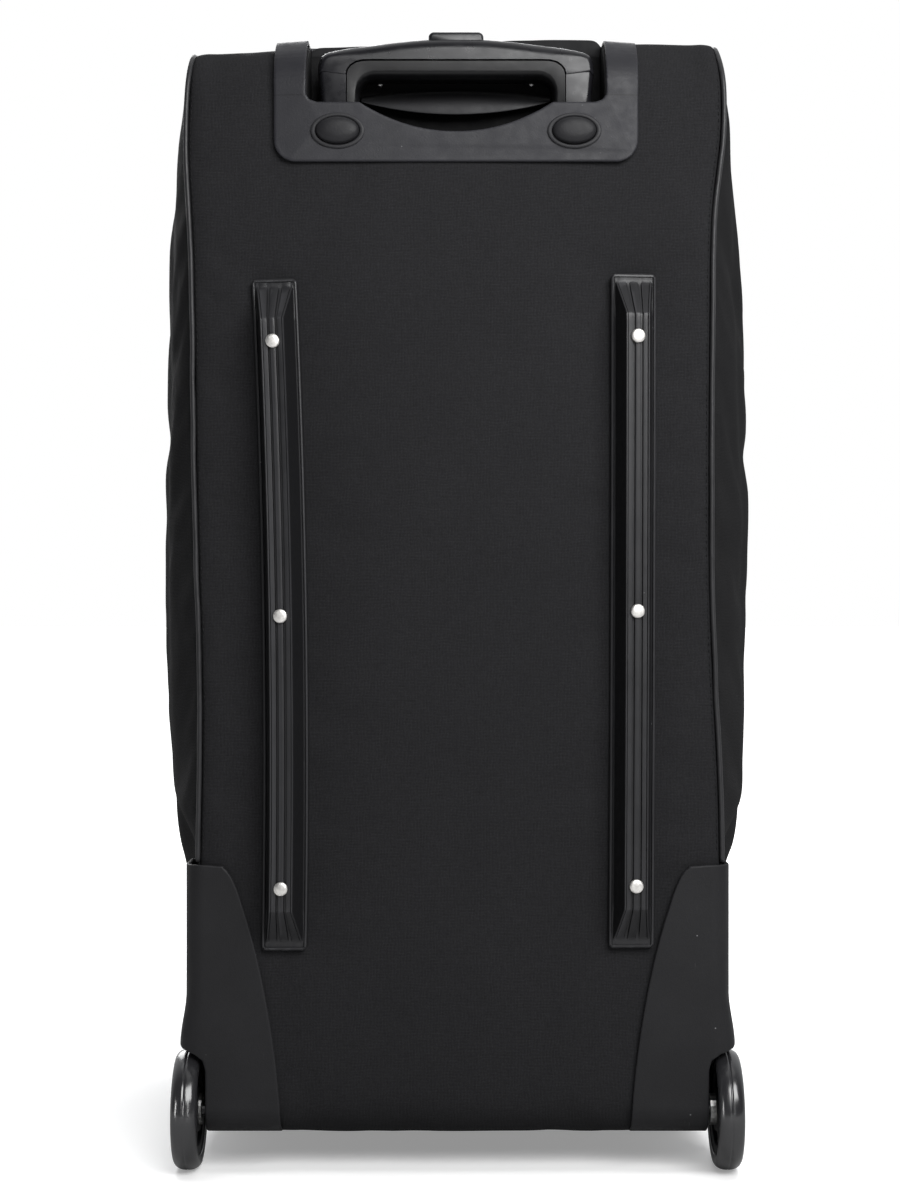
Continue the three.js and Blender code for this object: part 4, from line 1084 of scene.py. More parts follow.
def front_y(x, z):
    """y of the front cloth's outer face."""
    x, z = np.asarray(x, float), np.asarray(z, float)
    return DEPTH + (3 + 7 * rise(z)) * (1 - (x / (front_seam(z) - 1.2)) ** 2)


def top_z(x):
    """Height of the top cloth under the top handle."""
    return TOP + 4 * (1 - (x / front_seam(TOP - 1)) ** 2) + (0.8 + 3.0 * x / 190.0) * 0.8


# ------------------------------------------------------------------ soft goods
# where each skid rail presses on the back cloth: middle x, middle z, lean
RAIL_BEDS = ((-122.5, 393, -0.0126), (124, 396.5, 0.0035))


def back_cloth():
    path = walk(0, 4, 8.5)
    path[-1, 0] -= 0.4
    points, across, edge = wrap_points(path, 44)
    y, z, out_y, out_z = path.T[:, :, None]
    x = points[:, :, 0]
    # slow undulations of padded cloth stretched over a board
    waves = noise2(x / 85.0, (z + y) / 120.0, 5) * 0.9 + noise2(x / 34.0, (z + y) / 55.0, 9) * 0.35
    waves = waves * smooth(edge / 20)
    points[:, :, 1] += out_y * waves
    points[:, :, 2] += out_z * waves
    pin = np.zeros(across.shape)
    pin[edge < 2.0] = 1
    pin[0] = pin[-1] = 1
    pin[(np.abs(x) < 131) & (z > 706) & (y < 70)] = 1  # under the handle surround
    for bed_x, bed_z, lean in RAIL_BEDS:
        off = np.abs(x - (bed_x + lean * (z - bed_z)))
        near = np.exp(-((np.maximum(off - 15.5, 0) / 7.0) ** 2))
        points[:, :, 1] += near * (np.abs(z - bed_z) < 245) * (y < 20) * 1.1
        pin[(off < 17) & (np.abs(z - bed_z) < 238) & (y < 20)] = 1
    pin[(np.abs(x) > 120) & (z < 212) & (y < 100)] = 1  # under the wheel housings
    middle = (y < 20) & (np.abs(x) < 118) & (z < 690)
    pin[middle] = np.maximum(pin[middle], 0.05)

    def cut_away(x, y, z):
        cup = abs(x) < 107 and y < 46 and z > 722
        return cup or (abs(x) > WELL_X and z < WELL_Z and y < WELL_Y)

    ob = sheet_object("cloth_back", points)
    drape(ob, pin, frames=14, grow=0.004, push=(0, -0.6, -1.0), bending=1.2, cap=2.6, soft=0.02)
    drop_faces(ob, cut_away)
    finish_piece(ob, CLOTH, "body_cloth", replaces="back_panel", mods=THICK)


def base_cloth():
    path = walk(8, 8, 9.0)
    path[0, 0] -= 0.6
    points, across, _ = wrap_points(path, 36)
    y = path[:, 0, None]
    sag = 1.2 * (1 - across**2) * np.sin(pi * np.clip((y - BASE_Y) / 232, 0, 1))
    points[:, :, 2] -= sag + 0.5 * noise2(points[:, :, 0] / 40, y / 50, 3)
    ob = sheet_object("cloth_base", points)
    drop_faces(ob, lambda x, y, z: abs(x) > WELL_X and y < WELL_Y)
    finish_piece(ob, CLOTH, "body_cloth", replaces="base_panel", mods=THICK)


# creases that hang from the top: y at the top, y at the bottom, width, depth, seed
CREASES = ((40, 95, 9, -3.2, 1), (290, 250, 11, -2.8, 2), (70, 200, 14, -2.2, 3))


def side_cloth(sign, name):
    inset = 1.6
    low, high = BOTTOM + inset, TOP - inset
    ends = np.array([0, 1.5, 4, 8, 13, 19, 26])
    rows = np.concatenate([low + ends, np.linspace(low + 34, high - 34, 78), high - ends[::-1]])
    even = np.linspace(0, 1, 41)
    columns = 0.35 * (0.5 - 0.5 * np.cos(pi * even)) + 0.65 * even
    points = np.zeros((len(rows), len(columns), 3))
    for i, height in enumerate(rows):
        start, end = row_span(height, inset)
        depths = start + (end - start) * columns
        points[i, :, 0] = sign * side_x(sign, depths, height)
        points[i, :, 1] = depths
        points[i, :, 2] = height
    y, z = points[:, :, 1], points[:, :, 2]
    seed = 0 if sign < 0 else 1
    # gathered edge: shallow pleats that run in from the seams and die away
    edge = np.minimum(np.minimum(y - inset, DEPTH - inset - y), np.minimum(z - low, high - z))
    run = np.exp(-edge / 34.0) * smooth(edge / 5)
    pleat = noise2(z / 17.0, y / 120.0, 21 + seed) * 1.6
    pleat = pleat + noise2(z / 44.0, y / 90.0, 31 + seed) * 1.8
    waves = noise2(z / 130.0 + 0.2 * y / 60, y / 80.0, 41 + seed) * 3.0 * smooth(edge / 60)
    crease = 0
    fade = smooth((TOP - 30 - z) / 120) * smooth((z - 250) / 200)
    for start, end, width, depth, crease_seed in CREASES:
        line = start + (end - start) * (TOP - z) / (TOP - BOTTOM)
        line = line + 8 * noise2(z / 90.0, crease_seed, 50 + crease_seed)
        crease = crease + depth * np.exp(-(((y - line) / width) ** 2)) * fade
    free = smooth((y - wing(z) - 2) / 30) * (z < HOUSING_TOP + 4) + (z >= HOUSING_TOP + 4)
    # flat where the carry handle is sewn on
    handle_y, handle_z = np.abs(y - HANDLE_Y), np.abs(z - SIDE_HANDLE_Z)
    sewn = smooth((36 - handle_y) / 14) * smooth((142 - handle_z) / 16)
    points[:, :, 0] += sign * (pleat * run + waves + crease) * free * (1 - sewn)
    pin = (edge < 1.0) | ((z < HOUSING_TOP - 2) & (y < wing(z) - 4))
    pin = pin | ((handle_y < 22) & (handle_z < 130))
    ob = sheet_object("cloth_side_" + name, points)
    drape(ob, pin, frames=18, grow=0.008, push=(sign * 0.3, 0, -2.4), bending=0.35, cap=2.2,
          soft=0.012)
    drop_faces(ob, lambda x, y, z: y < WELL_Y and z < WELL_Z)
    # the side panels' cloth is painted darker, as shade
    finish_piece(ob, SIDE_CLOTH_PAINTED_SHADE, "body_cloth", replaces="side_panel_" + name, mods=THICK)


LID_X, LID_LOW, LID_HIGH, LID_R = 150.0, 88.0, 735.0, 45.0


def lid_outline(grow, steps=10):
    """(x, z) round the lid, moved out by grow."""
    across = LID_X + grow
    return round_rect(-across, across, LID_LOW - grow, LID_HIGH + grow, LID_R + grow, steps)


def box_edge(x, z, half, low, high):
    """Distance in from the nearest side of a box centred on x = 0."""
    return np.minimum(half - np.abs(x), np.minimum(z - low, high - z))


def front_cloth():
    """The front round the lid, with the lid's opening cut out."""
    points, _, _ = wrap_points(walk(5, 7, 8.0), 46, fine=False)
    ob = sheet_object("cloth_front", points)
    cut_outline(ob, lid_outline(0.4, 12), keep_inside=False)
    finish_piece(ob, CLOTH, "body_cloth", replaces="front_panel", mods=THICK)


def lid_cloth():
    inset = 0.8
    xs = np.linspace(-LID_X + inset, LID_X - inset, 41)
    x, z = np.meshgrid(xs, np.linspace(LID_LOW + inset, LID_HIGH - inset, 75))
    edge = box_edge(x, z, LID_X, LID_LOW, LID_HIGH)
    y = front_y(x, z) + 1.2 * smooth(edge / 25)
    y += smooth(edge / 40) * (noise2(x / 70, z / 90, 61) * 1.8 + noise2(x / 30, z / 45, 62) * 0.6)
    pin = (edge < 9).astype(float)
    pin[(np.abs(x) < 120) & (z > 120) & (z < 570)] = 1  # under the pocket
    ob = sheet_object("cloth_lid", np.stack([x, y, z], axis=2))
    drape(ob, pin, frames=14, grow=0.008, push=(0, 1.2, -1.6), bending=0.5, cap=4.0, soft=0.01)
    cut_outline(ob, lid_outline(-inset, 12), keep_inside=True)
    finish_piece(ob, CLOTH, "body_cloth", "lid", "lid_panel", THICK)


def pocket_cloth():
    """Bellows pocket on the lid: a crowned front, sides that turn in, and a flat border."""
    half, low, high = 112.0, 128.0, 560.0

    def packed(count):
        """0..1, closer together towards both ends."""
        even = np.linspace(0, 1, count)
        return 0.45 * (0.5 - 0.5 * np.cos(pi * even)) + 0.55 * even

    x, z = np.meshgrid(-half + 2 * half * packed(37), low + (high - low) * packed(63))
    across, up = (x + half) / (2 * half), (z - low) / (high - low)
    swell = (1 - np.abs(2 * across - 1) ** 7) * (1 - np.abs(2 * up - 1) ** 9)
    belly = (1 - (2 * across - 1) ** 2 * 0.35) * (1 - 0.35 * (2 * up - 0.75) ** 2)
    edge = box_edge(x, z, half, low, high)
    waves = noise2(x / 45, z / 60, 71) * 1.0 + noise2(x / 18, z / 26, 72) * 0.4
    y = front_y(x, z) + 1.6 + 12.5 * swell * belly + smooth(edge / 25) * waves
    # the sides pull in between the corners
    pull = 3.0 * (1 - (2 * up - 1) ** 2)
    x = x - np.sign(x) * pull * np.abs(2 * across - 1) ** 3
    ob = sheet_object("cloth_pocket", np.stack([x, y, z], axis=2))
    drape(ob, edge < 4, frames=16, grow=0.015, push=(0, 1.0, -2.5), bending=0.35, cap=3.5,
          soft=0.01)
    finish_piece(ob, CLOTH, "body_cloth", "lid", "front_pocket", THICK)


def piping(sign, name):
    """The cord along a side seam."""
    points, outward = [], []
    for y, z, out_y, out_z in walk(2, 8, 7.0):
        if (out_y == -1 and z < HOUSING_TOP - 6) or (out_z == -1 and y < 116):
            continue
        x = sign * float(half_width(sign, y, z))
        x += 0.35 * float(noise2(z / 28.0 + y / 31.0, sign * 3.3, 81))
        lift = 0.0
        if out_z > 0:
            lift = float(top_span(y)) * (0.8 + 3.0 * sign + (1.7 if sign > 0 else 0.0)) * 0.8
        sink = out_z * (1.5 if out_z > 0 else 0.6)
        points.append((x, y - out_y * 0.6, z - sink + lift))
        outward.append((sign * 0.35, out_y, out_z))
    cord = tube(frames_along(points, outward), circle(1.9, 12))
    piece("cord_" + name, *cord, material=PIPE, slot="piping", replaces="piping_" + name,
          mods=[SUBSURF])


def stitch_line(name, points, outward, body, length, gap, radius):
    """A row of separate stitches on the cloth; outward is its normal, one or one per point."""
    points = np.asarray(points, float)
    outward = np.broadcast_to(np.asarray(outward, float), points.shape)
    lengths = lengths_along(points)
    section = circle(radius, 5)
    stitches = []
    start = gap
    while start + length < lengths[-1]:
        places, normals = [], []
        for k in range(4):
            where = start + length * k / 3
            normal = at_length(outward, lengths, where)
            normal /= np.linalg.norm(normal)
            height = 0.25 - 0.35 * (k in (0, 3))  # both ends dive into the cloth
            places.append(at_length(points, lengths, where) + normal * height)
            normals.append(normal)
        stitches.append(tube(frames_along(places, normals), section))
        start += length + gap
    piece(name, *join_shapes(stitches), body=body, material=BINDING, slot="body_cloth")


# ------------------------------------------------------------------ skid rails
RAIL_PLACES = {"left": (-120.0, 393.0, 0.85), "right": (124.0, 396.5, 0.2)}  # x, z, lean
RAIL_HEIGHT = 23.2
RIVET_PITCH = 190.4
RAIL_HALF_STATIONS = [  # distances from the rail's middle
    0, 20, 60, 100, 140, 175, 200, 205, 206.5, 207.5, 209, 212, 216, 220, 224, 227.5, 230, 231.8,
    232.6, 233.2, 233.8, 234.3, 235.6, 236.3, 236.5,
]
# flange at the rail's foot: across, height
RAIL_FOOT = [(12.95, 2.05), (13.15, 2.0), (13.3, 2.5), (13.6, 3.1), (14.2, 3.3), (14.9, 3.1),
             (15.35, 2.6), (15.5, 2.0), (15.5, 0.0)]
# radius, height above the rail's crest, then radius, depth in the bag
RIVET_HEAD = [(0.0, 2.3), (1.6, 2.28), (2.9, 2.18), (3.8, 1.98), (4.4, 1.66), (4.78, 1.2),
              (4.9, 0.7), (4.9, 0.2), (4.6, -0.1), (2.4, -0.1)]
RIVET_TAIL = [(2.4, 14.4), (5.0, 14.5), (5.1, 15.2), (3.4, 15.9), (0.0, 16.0)]


def rail_point(side, across, inward, along):
    """A point of the rail's own frame in the bag's frame."""
    middle_x, middle_z, lean = RAIL_PLACES[side]
    sign = -1 if side == "left" else 1
    if side == "left":
        along += 1.7 * float(smooth((-along - 150) / 40))
    roll, lean = radians(sign * 4.0), radians(sign * lean)
    x = across * cos(roll) - inward * sin(roll)
    y = across * sin(roll) + inward * cos(roll)
    x -= (2.5 if side == "left" else 0.25) * (along / 190.0) ** 2  # riveted on slightly bent
    return (
        middle_x + x * cos(lean) + along * sin(lean),
        -5.6 + y,
        middle_z - x * sin(lean) + along * cos(lean),
    )


def rail_section(distance):
    """Half of the rail's section, (across, height) from the crest's middle to the foot."""
    half = 16.1
    if distance >= 232.5:  # rounded ends
        half = 12.1 + sqrt(max(0, 16 - (distance - 232.5) ** 2))
    top = RAIL_HEIGHT - 0.6
    if distance > 206.0:  # the crest slopes down to the ends
        top = max(2.1, (RAIL_HEIGHT - 0.6) * (233.0 - distance) / 26.6)
        if distance < 209:
            top -= 0.12 * (209 - distance) / 3
    crest = 12.8 - 4.7 * top / 22.7
    groove = min(1.7, max(0.0, (top - 2.4) * 0.5))
    rib = min(0.75, max(0.0, (top - 2.2) * 0.3))
    unit = crest / 7.0
    shallow = min(1, groove)
    section = [
        (0, top + rib * 0.5), (1.15 * unit, top + rib * 0.5), (1.5 * unit, top + rib * 0.2),
        (1.75 * unit, top - groove), (2.75 * unit, top - groove), (3.05 * unit, top - 0.05),
        (3.4 * unit, top + 0.1), (crest - 1.75, top + 0.1), (crest - 1.5, top - 0.35 * shallow),
        (crest - 1.3, top + rib * 0.8), (crest - 1.05, top + rib), (crest - 0.45, top + rib),
        (crest - 0.1, top + rib * 0.5), (crest + 0.12, top - 0.6 * shallow),
    ]
    for part in (0.85, 0.6, 0.35, 0.12):
        section.append((12.8 - 4.7 * top * part / 22.7, max(top * part, 2.2)))
    section += RAIL_FOOT
    if distance > 234.0:  # the rounded tip
        tip = (distance - 234.0) / 2.5
        cap = 1.6
        if tip < 1:
            cap = 3.3 * sqrt(max(0, 1 - max(0, (tip - 0.45) / 0.55) ** 2))
        section = [(a, min(cap, 3.3 - max(0.0, a - 14.3))) for a, _ in section[:-1]]
        section.append((15.5, 0.0))
    return [(a * half / 15.5, height) for a, height in section]


def skid_rail(side):
    stations = [-along for along in RAIL_HALF_STATIONS[:0:-1]] + RAIL_HALF_STATIONS
    verts = []
    for along in stations:
        section = rail_section(abs(along))
        for across, height in mirror(section[:0:-1]) + section:
            verts.append(rail_point(side, across, -height, along))
    rows, count = len(stations), 2 * len(section) - 1
    faces = grid_faces(rows, count) + end_caps(rows, count, first_forward=True)
    for i in range(rows - 1):  # underside
        start, following = i * count, (i + 1) * count
        faces.append((start, following, following + count - 1, start + count - 1))
    piece("rail_" + side, verts, faces, material=RAIL, slot="moulding",
          replaces="skid_rail_" + side, sharp=32, mods=[bevel(0.00025, 2, angle=38)])
    profile = [(radius, -RAIL_HEIGHT - height) for radius, height in RIVET_HEAD] + RIVET_TAIL
    for place, k in (("lower", -1), ("middle", 0), ("upper", 1)):
        verts, faces, uv = lathe(profile, 40, 0.0, (0.0, k * RIVET_PITCH), closed=False, axis="y")
        verts = [rail_point(side, *point) for point in verts]
        piece(f"rivet_{side}_{place}", verts, faces, uv, material=NICKEL, slot="nickel",
              replaces=f"rail_rivet_{side}_{place}", sharp=40)


# ------------------------------------------------------------------ handle surround and recess
BEND_Y, BEND_Z, BEND_R = 34, 762.8, 43  # the plate bends over the bag's top edge
PLATE_LOW_Z = 711.4
PLUG_X, PLUG_Z = 83, 733
PLUG_ALONG = 21.6  # plug centre, measured up the plate
PLUG_DOME = [(0.0, -15.7), (0.25, -15.66), (0.5, -15.45), (0.72, -15.0), (0.88, -14.2),
             (0.965, -13.1), (1.0, -11.6), (1.0, -4.5), (0.0, -4.5)]  # part of the radius, y
RING_SECTION = [(0.0, -8.0), (0.0, -9.9), (0.12, -10.35), (0.35, -10.6), (0.65, -10.6),
                (0.88, -10.35), (1.0, -9.9), (1.0, -8.0)]  # part of the ring's width, y


def oval_turned(name, sign, section, start, grow, closed, **finish):
    """Sweeps (part, y) round an oval at a plug; its (x, z) radii are start + grow * part."""
    count = 72
    verts = []
    for i in range(count):
        angle = 2 * pi * i / count
        for part, y in section:
            x = sign * PLUG_X + (start[0] + grow[0] * part) * cos(angle)
            verts.append((x, y, PLUG_Z + (start[1] + grow[1] * part) * sin(angle)))
    faces = grid_faces(count, len(section), wrap_u=True, wrap_v=closed)
    piece(name, verts, faces, slot=finish.pop("slot"), sharp=50, **finish)


def surround_plate():
    """A flat plate with its openings, then bent over the bag's top edge."""
    flat = BEND_Z - PLATE_LOW_Z
    bend = pi / 2 * BEND_R
    total = flat + bend + 32
    plate = round_rect(-128, 128, 0, total, [16, 16, 4, 4], 10)
    ob = raw_solid("surround_plate", *prism(plate, "y", 0, 3.2))
    opening = [(-105.5, total - 17), (-105.5, 48), (-103, 44), (-98, 42.1), (-68, 42.1)]
    for i in range(1, 36):
        across = -1 + 2 * i / 36
        opening.append((68 * across, PLUG_ALONG + 20.5 * abs(across) ** 2.1))
    opening += [(68, 42.1), (98, 42.1), (103, 44), (105.5, 48), (105.5, total - 17)]
    cut_prism(ob, opening, "y", -10, 10)
    for sign, _ in SIDES:
        oval = [
            (sign * PLUG_X + 15.4 * cos(angle), PLUG_ALONG + 9.7 * sin(angle))
            for angle in np.linspace(0, 2 * pi, 49)[:-1]
        ]
        cut_prism(ob, oval, "y", -10, 10)
    with editing(ob.data) as bm:
        for k in range(17):
            plane = (0, 0, (flat + bend * k / 16) / 1000)
            everything = bm.verts[:] + bm.edges[:] + bm.faces[:]
            bmesh.ops.bisect_plane(bm, geom=everything, plane_co=plane, plane_no=(0, 0, 1),
                                   dist=1e-7)
        for vertex in bm.verts:
            # depth is measured inwards from the outer face
            x, depth, along = vertex.co.x * 1000, vertex.co.y * 1000 + FRAME_Y0, vertex.co.z * 1000
            if along <= flat:
                y, z, out_y, out_z = BEND_Y - BEND_R, PLATE_LOW_Z + along, -1.0, 0.0
            elif along <= flat + bend:
                angle = pi - (along - flat) / BEND_R
                out_y, out_z = cos(angle), sin(angle)
                y, z = BEND_Y + BEND_R * out_y, BEND_Z + BEND_R * out_z
            else:
                y, z, out_y, out_z = BEND_Y + along - flat - bend, BEND_Z + BEND_R, 0.0, 1.0
            # the far ends taper down to the cloth, and the sides turn in
            sink = depth + 1.1 * smooth((along - total + 14) / 14)
            sink += 1.6 * smooth((abs(x) - 121) / 7) ** 2
            vertex.co = Vector((x, y - out_y * sink - FRAME_Y0, z - out_z * sink)) / 1000
        bmesh.ops.recalc_face_normals(bm, faces=bm.faces)
    moulded(ob, voxel=0.8, rounds=4, keep=0.3)
    finish_piece(ob, SURROUND, "moulding", replaces="handle_surround")


def surround():
    surround_plate()
    for sign, name in SIDES:
        oval_turned("plug_ring_" + name, sign, RING_SECTION, start=(15.5, 9.8), grow=(3.5, 2.7),
                    closed=True, material=MOULD, slot="moulding")
        oval_turned("plug_" + name, sign, PLUG_DOME, start=(0, 0), grow=(15.1, 9.4),
                    closed=False, material=PLUG, slot="grip", replaces="surround_plug_" + name)


def cup_tray():
    """The recess, in a moulding painted dark as the shade inside it, whose lower edge curves like
    the plate's opening.
    """
    tray = round_rect(-107, 107, 720, 800, [10, 10, 4, 4], 5)
    ob = raw_solid("cup_tray", *prism(tray, "y", -5.5, 46))
    inner = [(-104.6, 830), (-104.6, 744)]
    for i in range(25):
        across = -1 + 2 * i / 24
        inner.append((66 * across, 727 + 17 * abs(across) ** 2.1))
    inner += [(104.6, 744), (104.6, 830)]
    cut_prism(ob, inner, "y", -40, 43)
    # follow the bag's top edge
    arc = [(34 + 39.6 * cos(a), 762 + 39.6 * sin(a)) for a in np.linspace(pi, pi / 2, 14)]
    keep = [(-60, 700), (-5.6, 700)] + arc + [(60, 801.6), (60, 860), (-60, 860)]
    cut_prism(ob, keep, "x", -130, 130)
    for sign, _ in SIDES:
        x = sign * PLUG_X
        cut_prism(ob, round_rect(x - 13, x + 13, 8.5, 27.5, 3, 4), "z", 700, 752)
        cut_prism(ob, round_rect(x - 17, x + 17, -20, 9, 2, 3), "z", 700, 743)
    tidy(ob, 30)
    finish_piece(ob, RECESS_PAINTED_SHADE, "moulding", replaces="handle_cup")


def cup_wall():
    """The lighter wall across the recess: it leans back as it rises, then turns to a ledge. Its
    moulding is painted darker towards the top, as the grip's shadow.
    """
    columns, rows = 60, 12
    points = np.zeros((rows + 1, columns + 1, 3))
    for j in range(columns + 1):
        across = -1 + 2 * j / columns
        x = 68.0 * across
        low, high = 752.5 + 6.2 * abs(x / 54.0) ** 2.0, 769.3 - 3.2 * across**2
        for i in range(rows + 1):
            part = i / rows
            if part < 0.7:
                part = part / 0.7
                y = 27.5 + 5.0 * part**2 + 5 * across**2
                z = low + (high - low) * part
            else:
                part = (part - 0.7) / 0.3
                y = 32.5 + 9.5 * part + 5 * across**2 * (1 - part)
                z = high + 1.6 * sin(part * pi / 2)
            points[i, j] = (x, y, z)
    piece("cup_wall", *sheet(points), material=SCOOP, slot="moulding",
          mods=[solidify(0.0022, 0), bevel(0.0006, 2)])


# the hem's rows: y from the recess's back edge, part of the way up to the cloth
HEM_ROWS = ((-2.6, 0.0), (-2.7, 0.5), (-2.6, 0.9), (-1.6, 1.0), (1.5, 1.02), (5.5, 1.0))


def cup_hem():
    """The hem round the back of the recess."""
    back_y, low_z = 46, 797.0
    widths = {sign: float(half_width(sign, back_y, TOP)) for sign, _ in SIDES}
    rows = []
    for shift, part in HEM_ROWS:
        row = []
        for x in np.linspace(-105.5, 105.5, 61):
            across = x / widths[-1 if x < 0 else 1]
            edge = TOP + 4 * (1 - across * across) + 0.8 + 3.0 * across
            edge += float(hem_rise(x)) * (1 - float(smooth(max(shift, 0) / 60)))
            edge += 0.7 + 0.25 * float(noise2(x / 14.0, 3.0, 131))
            z = low_z + (edge - low_z) * part if part < 1 else edge + (part - 1) * 20
            row.append((x, back_y + shift, z))
        rows.append(row)
    piece("cup_hem", *sheet(np.array(rows)), material=BINDING, slot="body_cloth",
          mods=[solidify(0.0014, 0), SUBSURF])


def cup():
    cup_tray()
    cup_wall()
    cup_hem()
    # radius, y
    profile = [(0.0, 28.6), (1.2, 28.7), (2.0, 29.2), (2.3, 30.0), (2.3, 33.0), (0.0, 33.0)]
    for sign, name in SIDES:
        screw = lathe(profile, 24, 0.0, (sign * 54.6, 775.0), closed=False, axis="y")
        piece("cup_screw_" + name, *screw, material=STEEL, slot="steel", sharp=40)


# ------------------------------------------------------------------ telescopic handle's grip
def pillow(name, outline, start, end, radius, steps, rolls=None, **finish):
    """A solid with an (x, z) outline from y = start to end. Both edges roll over by radius (one
    or one per corner), and rolls is how deep in y they do so at start and end."""
    outline = np.asarray(outline, float)
    radius = np.broadcast_to(np.asarray(radius, float), (len(outline),))
    if turning(outline) < 0:
        outline, radius = outline[::-1], radius[::-1]
    rolls = rolls or [float(radius.max())] * 2
    verts = []
    faces_y = ((start, rolls[0], range(steps + 1)), (end, -rolls[1], range(steps, -1, -1)))
    for face_y, roll, order in faces_y:
        for k in order:
            angle = pi / 2 * k / steps
            for x, z in offset_outline(outline, radius * (1 - sin(angle))):
                verts.append((x, face_y + roll * (1 - cos(angle)), z))
    faces = capped_faces(2 * (steps + 1), len(outline), first_forward=True)
    return piece(name, verts, faces, slot="grip", sharp=40, **finish)


# height of the grip's top edge by distance from the middle
ARCH = curve(
    [0, 12, 22, 31, 40, 49, 56, 64, 71, 80, 86, 90],
    [802.4, 802.3, 801.9, 801.2, 800.3, 799.2, 798.2, 797.2, 796.4, 795.0, 793.8, 792.8],
)
# right halves of outlines, x, z
COVER_CORNER = [(77.75, 776.4), (76.95, 779.5), (74.85, 782.4), (71.2, 784.9), (66.6, 786.0)]
COVER_SHOULDER = [(97.7, 775.6), (98.0, 780.0), (97.7, 784.0), (96.7, 787.6), (94.9, 790.2),
                  (92.6, 791.9)]
LINER_TURN = [(77.5, 776.3), (76.7, 779.3), (74.6, 782.1), (71.0, 784.5), (66.5, 785.6),
              (60.0, 785.8)]
LINER_OPENING = [(69, 763.5), (68.4, 766.6), (67.0, 769.6), (64.6, 772.0), (61.0, 773.5),
                 (57.0, 773.9)]
LEG = [(77.5, 752), (95.8, 752), (96.7, 764), (97.5, 775.0), (97.5, 781.0), (78.6, 781.0),
       (77.5, 775.4)]
SHOULDER_RADII = [3.5, 4.2, 4.6, 5.0, 5.2, 5.6]
OPENING_RADII = [3.2, 3.4, 3.8, 4.4, 4.8, 5.0]
LEG_RADII = [0.4, 4.5, 4.5, 4.2, 4.2, 0.4, 0.4]
FLAT = 0.4  # edge radius where parts meet
GRIP_Y = 18.0  # middle of the grip's depth


def grip_cover():
    """The upper half of the grip, its two ends turned down, with a well for the button."""
    top = [(x, float(ARCH(abs(x)))) for x in np.linspace(-90, 90, 61)]
    outline = [(-78.0, 775.6)] + mirror(COVER_SHOULDER) + top + COVER_SHOULDER[::-1]
    outline += [(78.0, 775.6)] + COVER_CORNER + [(x, 786.2) for x in np.linspace(60, -60, 13)]
    outline += mirror(COVER_CORNER[::-1])
    radii = [FLAT] + SHOULDER_RADII
    radii += [5.6 + 3.4 * min(1.0, (90 - abs(x)) / 22) for x, _ in top]
    radii += SHOULDER_RADII[::-1] + [FLAT] * (1 + 5 + 13 + 5)
    ob = pillow("grip_top", outline, 4.0, 32.0, radii, steps=9, rolls=(8.5, 9),
                body="inner_stage", material=GRIP, replaces="grip_cover")
    cut_prism(ob, round_rect(-20.9, 20.9, 8.4, 27.6, 8.5, 8), "z", 793, 820)
    tidy(ob, 40)


def grip_liner():
    """The lower half of the grip, which the fingers close on."""
    outline = [(-69, 752.0), (-77.6, 752.0)] + mirror(LINER_TURN) + LINER_TURN[::-1]
    outline += [(77.6, 752.0), (69, 752.0)] + LINER_OPENING
    outline += [(x, 773.9) for x in (40, 20, 0, -20, -40)] + mirror(LINER_OPENING[::-1])
    radii = [3.2] + [FLAT] * 14 + [3.2] + OPENING_RADII + [5.0] * 5 + OPENING_RADII[::-1]
    # the lower half is painted darker, as the shade under the grip
    pillow("grip_lower", outline, 4.6, 31.4, radii, steps=9, rolls=(8.0, 8.0),
           body="inner_stage", material=GRIP_LOW_PAINTED_SHADE, replaces="grip_liner")


def button():
    cap = round_rect(-19.6, 19.6, 798.4, 808.1, [1.0, 1.0, 3.6, 3.6], 6)
    cap = [(x, z - 0.7 * (x / 18.3) ** 2 * (z > 800)) for x, z in cap]
    radii = [1.0 if z < 800 else 2.6 for _, z in cap]
    pillow("button_cap", cap, 9.6, 26.4, radii, steps=6, body="release", material=GRIP,
           replaces="release_button")
    pillow("button_yoke", round_rect(-86, 86, 790.2, 793.2, 1.2, 4), 14.2, 21.8, 0.8, steps=3,
           body="release", material=DARK)
    # the spring below the button
    turns, per_turn, radius = 5.5, 20, 3.8
    points = []
    for i in range(int(turns * per_turn) + 1):
        part = i / (turns * per_turn)
        angle = 2 * pi * i / per_turn
        z = 777.4 + 11.6 * float(smooth((part - 0.06) / 0.88) * 0.35 + 0.65 * part)
        points.append((radius * cos(angle), GRIP_Y + radius * sin(angle), z))
    coil = piece("spring_coil", *tube(frames_along(points, (0, 0, 1)), circle(0.55, 8)),
                 body="inner_stage", material=STEEL, slot="steel", replaces="button_spring")
    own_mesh(coil)
    pillow("button_stem", round_rect(-13, 13, 792.8, 799.2, 0.6, 3), 13.4, 22.6, 0.6, steps=3,
           body="release", material=DARK)


def grip():
    grip_cover()
    grip_liner()
    for sign, name in SIDES:
        leg = [(sign * x, z) for x, z in LEG]
        pillow(f"grip_leg_{name}_shell", leg, 4.6, 31.4, LEG_RADII, steps=8, rolls=(8.0, 7),
               body="inner_stage", material=GRIP, replaces="grip_leg_" + name)
    button()


# ------------------------------------------------------------------ wheels and feet
HOUSING_X = 190.5
# inner edge of the housing on the back: heights, x
HOUSING_EDGE = curve(
    [10, 57, 85.5, 120.5, 156, 188, 206, 212, 215.8, 217.6, 218],
    [-123, -124.5, -127.5, -133, -140.4, -149.5, -156.0, -159.4, -163.4, -168.5, -176],
)
# front edge of the housing on the side: heights, y
HOUSING_WING = curve(
    [10, 40, 80, 122, 165, 200, 210, 215, 217.4, 218],
    [119, 118, 112, 100, 82, 63, 54, 45, 36, 26],
)
